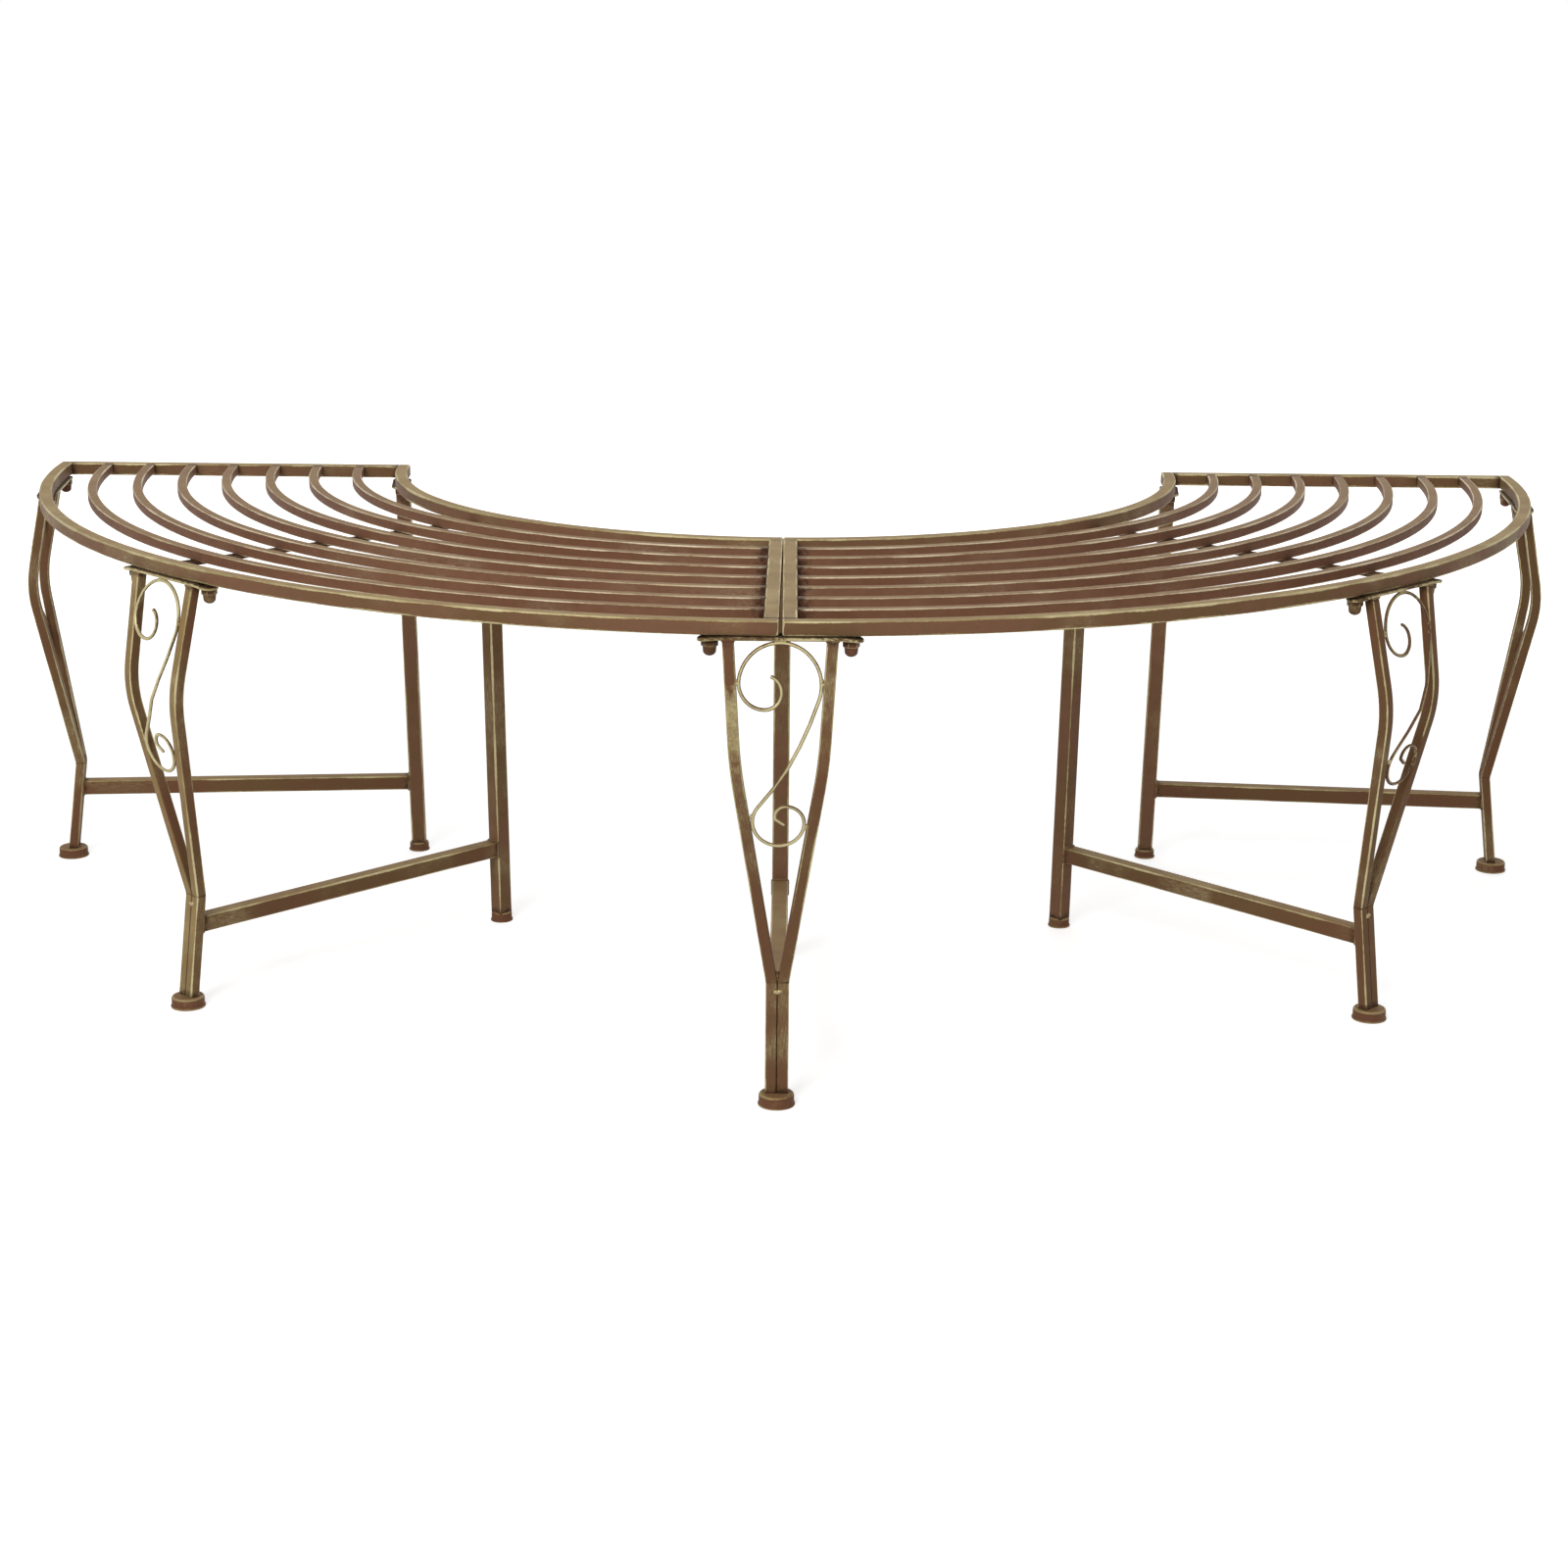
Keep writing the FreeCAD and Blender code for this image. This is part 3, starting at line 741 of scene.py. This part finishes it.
def leg_line(side):
    """Foot, waist, knee and top of one tube's middle line."""
    near = PAIR_GAP / 2 + TUBE_SIDE / 2
    return [
        leg_point(side * near, SEAT_RADIUS - FOOT_INSET, -SEAT_HEIGHT),
        leg_point(side * near, SEAT_RADIUS - WAIST_INSET, WAIST_HEIGHT - SEAT_HEIGHT),
        leg_point(side * KNEE_HALF_SPREAD, SEAT_RADIUS + KNEE_REACH, -KNEE_DROP),
        leg_point(side * TOP_HALF_SPREAD, SEAT_RADIUS - TOP_INSET, STRAP_BOTTOM),
    ]


def outer_tube(side):
    """One bent tube of a pair, from inside its foot to under the strap, with level ends."""
    foot, waist, knee, top = leg_line(side)
    ahead = (waist - foot).normalized()
    start = foot + ahead * ((OUTER_FOOT_HEIGHT - LEG_IN_FOOT) / ahead.z)
    stations = bent_stations([start, waist, knee, top], [WAIST_BEND, KNEE_BEND], ACROSS)
    skin = bar(add_near_ends(stations), TUBE_SIDE, TUBE_SIDE, TUBE_CORNER, True, True)
    size = len(rounded_section(TUBE_SIDE, TUBE_SIDE, TUBE_CORNER))
    for k in range(size):
        for first, second, level in ((k, k + size, start.z), (-size + k, -2 * size + k, STRAP_BOTTOM)):
            here = skin.points[first]
            along = here - skin.points[second]
            skin.points[first] = here + along * ((level - here.z) / along.z)
    for i, spot in enumerate(skin.points):
        if spot.z < waist.z + CROTCH_RISE and abs(spot.x) < FACING_CORNER:
            skin.edge[i] = 0.0
        # Painted shade on the facing sides below the waist and in the crease of the waist
        if spot.z < waist.z and abs(spot.x) < FACING_SIDE:
            skin.nook[i] = 1.0
        if abs(spot.z - waist.z) < CREASE_REACH:
            skin.nook[i] = CREASE_SHADE
    return skin


def pair_seam():
    """The coat that closes the gap between the two tubes of a pair, painted dark all over as the shade in the
    gap.
    """
    foot, waist = leg_line(1)[:2]
    foot.x = waist.x = 0.0
    start = foot + (waist - foot) * (OUTER_FOOT_HEIGHT / 2 / WAIST_HEIGHT)
    stations = straight_stations(start, waist, ACROSS)
    skin = bar(stations, PAIR_GAP + 2 * PAIR_COAT_OVERLAP, PAIR_COAT_DEPTH, PAIR_COAT_OVERLAP)
    skin.nook = [1.0] * len(skin.points)
    return skin


def strap_droop(across):
    """How far the strap bends down at a place beyond the leg tubes."""
    past = max(0.0, abs(across) / (OUTER_STRAP_LENGTH / 2) - STRAP_DROOP_FROM)
    return STRAP_DROOP * past ** 2 / (1 - STRAP_DROOP_FROM) ** 2


def strap_outline(straight, half, end_steps=16, side_steps=6):
    """The strap from above: half circles at its ends and points along its sides."""
    outline = []
    for end in (1, -1):
        for k in range(1 - side_steps, end_steps + side_steps):
            if 0 <= k <= end_steps:
                angle = radians(-90 + 180 * k / end_steps)
                outline.append((end * (straight + half * cos(angle)), end * half * sin(angle)))
            else:
                steps = -k if k < 0 else k - end_steps
                outline.append((end * straight * (1 - steps / side_steps), end * half * (-1 if k < 0 else 1)))
    return outline


def strap_skin(rim_mid, length):
    """A flat strap with rounded ends that bend down a little beyond the leg tubes."""
    skin = Skin()
    half = STRAP_WIDTH / 2
    straight = length / 2 - half
    outline = strap_outline(straight, half)
    little = 0.3 * STRAP_EASE
    layers = [
        (0.0, STRAP_EASE, STRAP_EASE),
        (little, little, 0.0),
        (STRAP_EASE, 0.0, STRAP_EASE),
        (STRAP_THICK - STRAP_EASE, 0.0, STRAP_EASE),
        (STRAP_THICK - little, little, 0.0),
        (STRAP_THICK, STRAP_EASE, STRAP_EASE),
    ]
    rings = []
    for height, inset, distance in layers:
        ids = []
        grow = 1 - inset / half
        # The top of the strap, against the rim, gets dirt and painted shade
        dirt_and_shade = max(0.0, 2.5 * height / STRAP_THICK - 1.5)
        for s, t in outline:
            reach = min(max(s, -straight), straight)
            across = reach + (s - reach) * grow
            level = STRAP_BOTTOM + height - strap_droop(across)
            ids.append(skin.add(leg_point(across, rim_mid + t * grow, level), distance, s, t, dirt_and_shade))
        rings.append(ids)
    skin.loops(rings, False, False)
    grow = 0.4
    for ring, is_low in ((rings[0], True), (rings[-1], False)):
        inner = []
        for i, (s, t) in zip(ring, outline):
            reach = min(max(s, -straight), straight)
            spot = leg_point(reach + (s - reach) * grow, rim_mid + t * grow, skin.points[i].z)
            # The top face under the rim is painted fully dark as shade
            inner.append(skin.add(spot, EDGE_REACH, s, t, 0.0 if is_low else 1.0))
        size = len(ring)
        quads = [(ring[k], ring[(k + 1) % size], inner[(k + 1) % size], inner[k]) for k in range(size)]
        quads += [(inner[k], inner[k + 1], inner[-2 - k], inner[-1 - k]) for k in range(size // 2 - 1)]
        skin.faces += [tuple(reversed(quad)) if is_low else quad for quad in quads]
    return skin


def lathe(outline, spot, steps=40):
    """A turned piece from (radius, height, from_edge) points, closed at both ends."""
    skin = Skin()
    rings = []
    run = 0.0
    last = None
    for radius, height, from_edge in outline:
        here = Vector((radius, height))
        run += (here - last).length if last else 0
        last = here
        ids = []
        for k in range(steps):
            angle = 2 * pi * k / steps
            place = spot + level_arm(angle) * radius + UP * height
            ids.append(skin.add(place, from_edge, radius * angle, run))
        rings.append(ids)
    skin.loops(rings)
    return skin


def foot_outline(radius, height):
    """Flared base, straight wall and a soft shoulder, as (radius, height, from_edge)."""
    wall = radius - FOOT_FLARE
    top = height - FOOT_SHOULDER
    outline = [
        (radius - 0.8, 0.0, 0.8),
        (radius - 0.2, 0.2, 0.2),
        (radius, 0.8, 0.4),
        (radius - 0.1, 1.6, 1.2),
        (wall, 3.0, 2.6),
        (wall, top, NO_EDGE),
    ]
    for k in range(1, 6):
        angle = radians(18 * k)
        inset = FOOT_SHOULDER * (1 - cos(angle))
        outline.append((wall - inset, top + FOOT_SHOULDER * sin(angle), abs(k - 2.5) * 0.7))
    outline.append((wall - FOOT_SHOULDER - 2.0, height, NO_EDGE))
    return outline


def cap_nut(spot, spin):
    """A domed nut hanging under the strap: hexagon with an eased rim, neck and dome."""
    steps = 48
    sixth = pi / 3
    dome = NUT_HEX_HEIGHT + NUT_NECK_HEIGHT
    outline = [
        (0.0, NUT_TURNED_RADIUS, NO_EDGE),
        (NUT_HEX_HEIGHT - 1.4, NUT_TURNED_RADIUS, 1.4),
        (NUT_HEX_HEIGHT - 0.3, NUT_TURNED_RADIUS * 0.985, 0.0),
        (NUT_HEX_HEIGHT, NUT_TURNED_RADIUS * 0.9, 0.5),
        (NUT_HEX_HEIGHT + 0.2, NUT_NECK_RADIUS, 2.0),
        (dome, NUT_DOME_RADIUS, NO_EDGE),
    ]
    for k in range(1, 7):
        angle = radians(15 * k)
        radius = NUT_DOME_RADIUS * cos(angle) + NUT_TIP_RADIUS
        outline.append((dome + NUT_DOME_HEIGHT * sin(angle), radius, NO_EDGE))
    skin = Skin()
    rings = []
    for drop, radius, from_edge in outline:
        ids = []
        # The top of the nut, against the strap, gets dirt and painted shade
        dirt_and_shade = max(0.0, 1 - drop / NUT_DIRT_AND_SHADE_REACH)
        for k in range(steps):
            angle = 2 * pi * k / steps
            from_flat = abs((angle + sixth / 2) % sixth - sixth / 2)
            reach = radius
            edge = min(NO_EDGE, from_edge)
            if drop <= NUT_HEX_HEIGHT:
                reach = min(NUT_FLAT_REACH / cos(from_flat), NUT_CORNER_REACH, radius)
                edge = min((sixth / 2 - from_flat) * NUT_MEAN_REACH, from_edge)
            place = spot + level_arm(angle + spin) * reach - UP * drop
            ids.append(skin.add(place, edge, reach * angle, drop, dirt_and_shade))
        rings.append(list(reversed(ids)))
    skin.loops(rings)
    return skin


def scroll_circles(loop_drop):
    """The two circles of wire that fit between the tubes, as centre and radius, upper one first."""
    waist, knee, top = leg_line(1)[1:]
    upper_slope = atan((top.x - knee.x) / (top.z - knee.z))
    upper_room = top.x - TUBE_SIDE / 2 / cos(upper_slope)
    upper = upper_room * cos(upper_slope) / (1 + sin(upper_slope))
    lower_slope = atan((knee.x - waist.x) / (knee.z - waist.z))
    lower_mid = waist.x + (-loop_drop - waist.z) * tan(lower_slope)
    lower = lower_mid * cos(lower_slope) - TUBE_SIDE / 2
    gap = WIRE_RADIUS + WIRE_CLEARANCE
    return Vector((0, 0, STRAP_BOTTOM - upper)), upper - gap, Vector((0, 0, -loop_drop)), lower - gap


def polar(radius, angle):
    return Vector((cos(radians(angle)), 0, sin(radians(angle)))) * radius


def bend(centre, radius, start, stop, step=5.0):
    """Points round a bend of the wire, without its last one."""
    count = max(3, ceil(abs(stop - start) / step))
    return [centre + polar(radius, start + (stop - start) * k / count) for k in range(count)]


def scroll_points(loop_drop):
    """The wire's middle line: eye, curl, arch, long sweep, lower loop, curl and hook."""
    high, high_radius, low, low_radius = scroll_circles(loop_drop)
    curl = high + polar(high_radius - UPPER_CURL_RADIUS, UPPER_CURL_START)
    eye = curl + polar(UPPER_CURL_RADIUS - UPPER_EYE_RADIUS, 270)
    to_high = SWEEP_RADIUS - high_radius
    to_low = SWEEP_RADIUS + low_radius
    apart = high.z - low.z
    drop = (to_high ** 2 - to_low ** 2 + apart ** 2) / (2 * apart)
    sweep = high - Vector((sqrt(to_high ** 2 - drop ** 2), 0, drop))
    leave = degrees(atan2(high.z - sweep.z, high.x - sweep.x))
    arrive = degrees(atan2(low.z - sweep.z, low.x - sweep.x))
    points = bend(eye, UPPER_EYE_RADIUS, UPPER_EYE_END, -90)
    points += bend(curl, UPPER_CURL_RADIUS, 270, UPPER_CURL_START)
    points += bend(high, high_radius, UPPER_CURL_START, leave)
    points += bend(sweep, SWEEP_RADIUS, leave, arrive)
    points += bend(low, low_radius, arrive + 180, 270)
    centre, radius, angle = low, low_radius, 270
    for next_radius in LOWER_CURL_RADII:
        centre = centre + polar(radius - next_radius, angle)
        radius = next_radius
        points += bend(centre, radius, angle, angle + 90)
        angle += 90
    centre = centre + polar(radius - LOWER_HOOK_RADIUS, angle)
    points += bend(centre, LOWER_HOOK_RADIUS, angle, LOWER_HOOK_END + 360)
    hook = centre + polar(LOWER_HOOK_RADIUS, LOWER_HOOK_END)
    return points + [hook, hook + polar(LOWER_TIP_LENGTH, LOWER_HOOK_END + 90)]


def beside_tubes(spot, loop_drop):
    """A point of the flat drawing, moved out to the tubes' front faces and round the knee."""
    waist, knee, top = leg_line(1)[1:]
    low, low_radius = scroll_circles(loop_drop)[2:]
    bottom = low.z - low_radius
    bottom_y = knee.y + (waist.y - knee.y) * (knee.z - bottom) / (knee.z - waist.z)
    bend_y = knee.y - WIRE_KNEE_REACH
    above = (top.y - bend_y) / (top.z - knee.z)
    below = (bottom_y - bend_y) / (knee.z - bottom)
    past = spot.z - knee.z
    soft = sqrt(past ** 2 + WIRE_KNEE_EASE ** 2)
    back = (above - below) / 2 * past + (above + below) / 2 * soft
    return spot + Vector((0, bend_y + back - TUBE_SIDE / 2 + WIRE_RADIUS, 0))


def scroll_skin(loop_drop, sides=16):
    """Round wire along the scroll, with its ends snipped off and eased."""
    path = scroll_points(loop_drop)
    skin = Skin()
    rings = []
    depth = Vector((0, 1, 0))
    run = 0.0
    for i, here in enumerate(path):
        before = path[max(i - 1, 0)]
        after = path[min(i + 1, len(path) - 1)]
        ahead = (after - before).normalized()
        width = ahead.cross(depth)
        run += (here - before).length
        layers = [(0.0, 1.0)]
        if i == 0:
            layers = [(0.0, WIRE_SNIP_SHARE), (WIRE_SNIP, 1.0)]
        if i == len(path) - 1:
            layers = [(-WIRE_SNIP, 1.0), (0.0, WIRE_SNIP_SHARE)]
        for shift, grow in layers:
            ids = []
            for k in range(sides):
                turn = 2 * pi * k / sides
                arm = (width * cos(turn) + depth * sin(turn)) * WIRE_RADIUS * grow
                # Distance from the wire's front line, where its gold line runs, partly as a painted highlight
                from_front = abs((turn - pi / 2) % (2 * pi) - pi) * WIRE_RADIUS
                spot = beside_tubes(here + ahead * shift + arm, loop_drop)
                ids.append(skin.add(spot, from_front, WIRE_RADIUS * turn, run))
            rings.append(ids)
    skin.loops(rings)
    return skin


def bead(spot, size, seed, stretch=(1, 1, 1), from_edge=NO_EDGE):
    """A small lump of weld, rough and uneven in its own way for each seed."""
    rows = 8
    sides = 12
    own_place = Vector((seed, seed * 0.37, 0))
    skin = Skin()
    rings = []
    for j in range(1, rows):
        lift = pi * j / rows
        ids = []
        for k in range(sides):
            turn = 2 * pi * k / sides
            arm = Vector((sin(lift) * cos(turn), sin(lift) * sin(turn), cos(lift)))
            rough = 1 + BEAD_ROUGHNESS * noise.noise(arm * BEAD_LUMPS + own_place)
            ids.append(skin.add(spot + arm * Vector(stretch) * size * rough, from_edge, turn, lift))
        rings.append(list(reversed(ids)))
    skin.loops(rings)
    return skin


def weld_collar(centre, seed):
    """A fillet of weld all round the end of a stretcher."""
    skins = []
    half = (LEG_SIDE - 2 * COLLAR_INSET) / 2
    for edge in range(4):
        for k in range(COLLAR_BEAD_COUNT):
            t = -1 + 2 * (k + 0.5) / COLLAR_BEAD_COUNT
            across, up = [(half, t * half), (-t * half, half), (-half, -t * half), (t * half, -half)][edge]
            spot = centre + Vector((across, 0, up))
            skins.append(bead(spot, COLLAR_BEAD_SIZE, seed + edge * 7 + k * 1.3))
    return merge(skins)


def frame_beads(seed, loop_drop):
    """The weld beads of one leg frame: scroll, strap, waist and crotch."""
    waist, top = leg_line(1)[1::2]
    high, high_radius, low, low_radius = scroll_circles(loop_drop)
    skins = []
    contacts = [high + polar(high_radius + 0.9, angle) for angle in (84, 88, 92, 96)]
    contacts += [high + polar(high_radius + 1.2, angle) for angle in (2, 6, 174, 178)]
    contacts += [low + polar(low_radius + 1.0, angle) for angle in (166, 170, -13, -9)]
    for k, spot in enumerate(contacts):
        skins.append(bead(beside_tubes(spot, loop_drop), TACK_SIZE, seed + k * 3.1, (1.0, 0.9, 1.0), 0.5))
    level = STRAP_BOTTOM - CORNER_BEAD_DROP
    for side in (-1, 1):
        for k in range(5):
            along = (k - 2) * BEAD_PITCH
            inside = leg_point(side * (TOP_HALF_SPREAD - TUBE_SIDE / 2), -top.y + along, level)
            before = leg_point(side * TOP_HALF_SPREAD + along, -top.y + TUBE_SIDE / 2, level)
            skins.append(bead(inside, CORNER_BEAD_SIZE, seed + side * 5 + k))
            skins.append(bead(before, CORNER_BEAD_SIZE, seed + side * 9 + k))
    for k, (across, drop) in enumerate(WAIST_BEADS):
        spot = Vector((across, waist.y - TUBE_SIDE / 2 - 0.1, waist.z - drop))
        skins.append(bead(spot, WAIST_BEAD_SIZE, seed + 40 + k, (1.0, 0.75, 0.8), 0.0))
    for k in range(4):
        crotch = Vector((0, waist.y + (k - 1.5) * BEAD_PITCH, waist.z + CROTCH_BEAD_RISE))
        skins.append(bead(crotch, TACK_SIZE, seed + 50 + k, (0.8, 1.0, 1.4)))
    return merge(skins)


def square_leg(start, stop):
    """A straight square tube, open where it is welded on or stands in its foot."""
    return bar(straight_stations(start, stop, ACROSS), LEG_SIDE, LEG_SIDE, LEG_CORNER, True, True)


def inner_leg_ends():
    top = leg_point(0, INNER_RIM_MID - INNER_TOP_SHIFT, STRAP_BOTTOM)
    foot = leg_point(0, INNER_RIM_MID - INNER_TOP_SHIFT - INNER_LEAN, -SEAT_HEIGHT)
    return foot, top


def inner_leg():
    foot, top = inner_leg_ends()
    along = (top - foot).normalized()
    return square_leg(foot + along * ((INNER_FOOT_HEIGHT - LEG_IN_FOOT) / along.z), top)


def stretcher_ends():
    """Where a stretcher meets the inner leg and the pair of outer tubes."""
    level = STRETCHER_HEIGHT - SEAT_HEIGHT
    inner_face = INNER_RIM_MID - INNER_TOP_SHIFT - INNER_LEAN * (-level) / SEAT_HEIGHT + LEG_SIDE / 2
    outer_mid = SEAT_RADIUS - FOOT_INSET - (WAIST_INSET - FOOT_INSET) * STRETCHER_HEIGHT / WAIST_HEIGHT
    start = leg_point(0, inner_face - SUNK_END, level)
    stop = leg_point(0, outer_mid - TUBE_SIDE / 2 + SUNK_END, level)
    return start, stop


def leg_frame(name, turn, loop_drop):
    """One leg frame: bent pair, strap, scroll, inner leg, stretcher and weld beads."""
    place = seat_place(turn)
    seed = turn * 0.173 + 11

    def put(skin, part, finish, slot="leg_paint", ending="_skin"):
        node_name = f"{name}_{part}"
        skin.piece(node_name + ending, place, slot, SPECIAL_FINISHES.get(node_name, finish), [node_name])

    put(outer_tube(-1), "leg_tube_a", leg_finish)
    put(outer_tube(1), "leg_tube_b", leg_finish)
    put(strap_skin(OUTER_RIM_MID, OUTER_STRAP_LENGTH), "strap", strap_finish, "strap_paint")
    put(scroll_skin(loop_drop), "scroll", wire_finish, "scroll_paint", "_wire")
    put(inner_leg(), "inner_leg", inner_leg_finish)
    start, stop = stretcher_ends()
    put(square_leg(start, stop), "stretcher", stretcher_finish)
    shift = Vector((0, COLLAR_SHIFT, 0))
    collars = [weld_collar(start - shift, seed), weld_collar(stop + shift, seed + 3)]
    welds = merge([frame_beads(seed, loop_drop), pair_seam()] + collars)
    welds.piece(f"{name}_weld_beads", place, "leg_paint", bead_finish)


for name, (turn, loop_drop) in FRAMES.items():
    leg_frame(name, turn, loop_drop)


# Small pieces that one node holds for all five leg frames

def at_every_frame(make):
    """The small pieces that make gives for each frame's turn, as one skin."""
    skins = []
    for turn, loop_drop in FRAMES.values():
        spin = Matrix.Rotation(radians(turn), 4, "Z")
        for skin in make(turn):
            skin.points = [spin @ point for point in skin.points]
            skins.append(skin)
    return merge(skins)


def stud_spots(rim_mid, spacing):
    out = sqrt(rim_mid ** 2 - (spacing / 2) ** 2)
    level = STRAP_BOTTOM - strap_droop(spacing / 2)
    return [leg_point(side * spacing / 2, out, level) for side in (-1, 1)]


def frame_nuts(turn):
    """The four nuts of one frame, each tightened to an angle of its own."""
    spots = stud_spots(OUTER_RIM_MID, OUTER_STUD_SPACING) + stud_spots(INNER_RIM_MID, INNER_STUD_SPACING)
    return [cap_nut(spot, radians(30 + 9 * sin(turn + 2.1 * k))) for k, spot in enumerate(spots)]


def outer_foot(turn):
    spot = leg_point(0, SEAT_RADIUS - FOOT_INSET, -SEAT_HEIGHT)
    return [lathe(foot_outline(OUTER_FOOT_RADIUS, OUTER_FOOT_HEIGHT), spot)]


def inner_foot(turn):
    return [lathe(foot_outline(INNER_FOOT_RADIUS, INNER_FOOT_HEIGHT), inner_leg_ends()[0])]


def inner_strap(turn):
    return [strap_skin(INNER_RIM_MID, INNER_STRAP_LENGTH)]


for make, name, slot, finish, node_name in (
    (frame_nuts, "cap_nuts_round", "fastener_paint", nut_finish, "cap_nuts"),
    (outer_foot, "outer_feet_round", "foot_paint", foot_finish, "outer_feet"),
    (inner_foot, "inner_feet_round", "foot_paint", foot_finish, "inner_feet"),
    (inner_strap, "inner_straps_skin", "strap_paint", strap_finish, "inner_straps"),
):
    at_every_frame(make).piece(name, seat_place(), slot, finish, [node_name])

for stud_slot in bpy.data.objects["studs"].material_slots:
    stud_slot.material = nut_finish


# Floor, light and camera

# FLOOR_REACH and BENCH_MIDDLE are in metres; CAMERA_TURNS are yaw, pitch and roll
FLOOR_REACH = 40.0
BENCH_MIDDLE = (0, 0, 0.3)
CAMERA_SPOT = (11.4, -3109.7, 500.0)
CAMERA_TURNS = (0.18, 15.50, 0.54)
CAMERA_LENS = 64.98
CAMERA_SENSOR = 36.0


def seen_directly(tree):
    """1 for the camera and for rays in metal or glass, and 0 for rays of soft light."""
    rays = node(tree, "ShaderNodeLightPath")
    seen = rays["Is Camera Ray"]
    for ray in ("Is Glossy Ray", "Is Transmission Ray"):
        seen = maths(tree, "MAXIMUM", seen, rays[ray])
    return seen


def studio_floor():
    """A wide pale floor that stays white to the camera and keeps the bench's shadow."""
    mesh = bpy.data.meshes.new("studio_floor")
    corners = [(x * FLOOR_REACH, y * FLOOR_REACH, 0) for x, y in ((-1, -1), (1, -1), (1, 1), (-1, 1))]
    mesh.from_pydata(corners, [], [(0, 1, 2, 3)])
    material = bpy.data.materials.new("pale_floor")
    material.use_nodes = True
    tree = material.node_tree
    distance = node(tree, "ShaderNodeVectorMath", {"operation": "LENGTH"}, i0=object_place(tree))
    far = spread(tree, distance["Value"], 1.0, 3.0, 0.6, 1.0)
    fill(tree, tree.nodes["Principled BSDF"], Base_Color=(0.8, 0.8, 0.8, 1), Roughness=0.9,
         Specular_IOR_Level=0.0, Emission_Color=(1, 1, 1, 1),
         Emission_Strength=times(tree, seen_directly(tree), far))
    mesh.materials.append(material)
    floor = new_object("studio_floor", mesh)


def studio_world():
    """White to the camera, and a dimmer soft light on the bench."""
    world = bpy.data.worlds.new("studio")
    bpy.context.scene.world = world
    world.use_nodes = True
    tree = world.node_tree
    strength = spread(tree, seen_directly(tree), 0.0, 1.0, 0.36, 1.0)
    fill(tree, tree.nodes["Background"], Color=(1, 1, 1, 1), Strength=strength)


def soft_lamp(name, spot, size, power):
    """A rectangular lamp, in metres and watts, aimed at the bench."""
    light = bpy.data.lights.new(name, "AREA")
    light.shape = "RECTANGLE"
    light.size, light.size_y = size
    light.energy = power
    lamp = new_object(name, light)
    lamp.location = spot
    lamp.rotation_euler = (Vector(BENCH_MIDDLE) - Vector(spot)).to_track_quat("-Z", "Y").to_euler()


def photo_camera():
    """The camera fitted to the photograph: a long view from the front, a little above the seat."""
    yaw, pitch, roll = (radians(angle) for angle in CAMERA_TURNS)
    ahead = Vector((-sin(yaw) * cos(pitch), cos(yaw) * cos(pitch), -sin(pitch)))
    level = level_arm(yaw)
    above = level.cross(ahead)
    right = level * cos(roll) + above * sin(roll)
    up = above * cos(roll) - level * sin(roll)
    data = bpy.data.cameras.new("photo_camera")
    data.sensor_width = CAMERA_SENSOR
    data.lens = CAMERA_LENS
    camera = new_object("photo_camera", data)
    turn = Matrix((right, up, -ahead)).transposed().to_4x4()
    camera.matrix_world = Matrix.Translation(seat_place() @ Vector(CAMERA_SPOT)) @ turn
    bpy.context.scene.camera = camera


studio_floor()
studio_world()
soft_lamp("key_lamp", (-1.7, -3.6, 3.2), (2.0, 1.8), 108)
soft_lamp("fill_lamp", (2.0, -3.4, 2.2), (2.4, 2.0), 6)
soft_lamp("back_lamp", (0.4, 3.2, 3.2), (3.0, 2.0), 30)
photo_camera()
bpy.context.scene.view_settings.view_transform = "Standard"
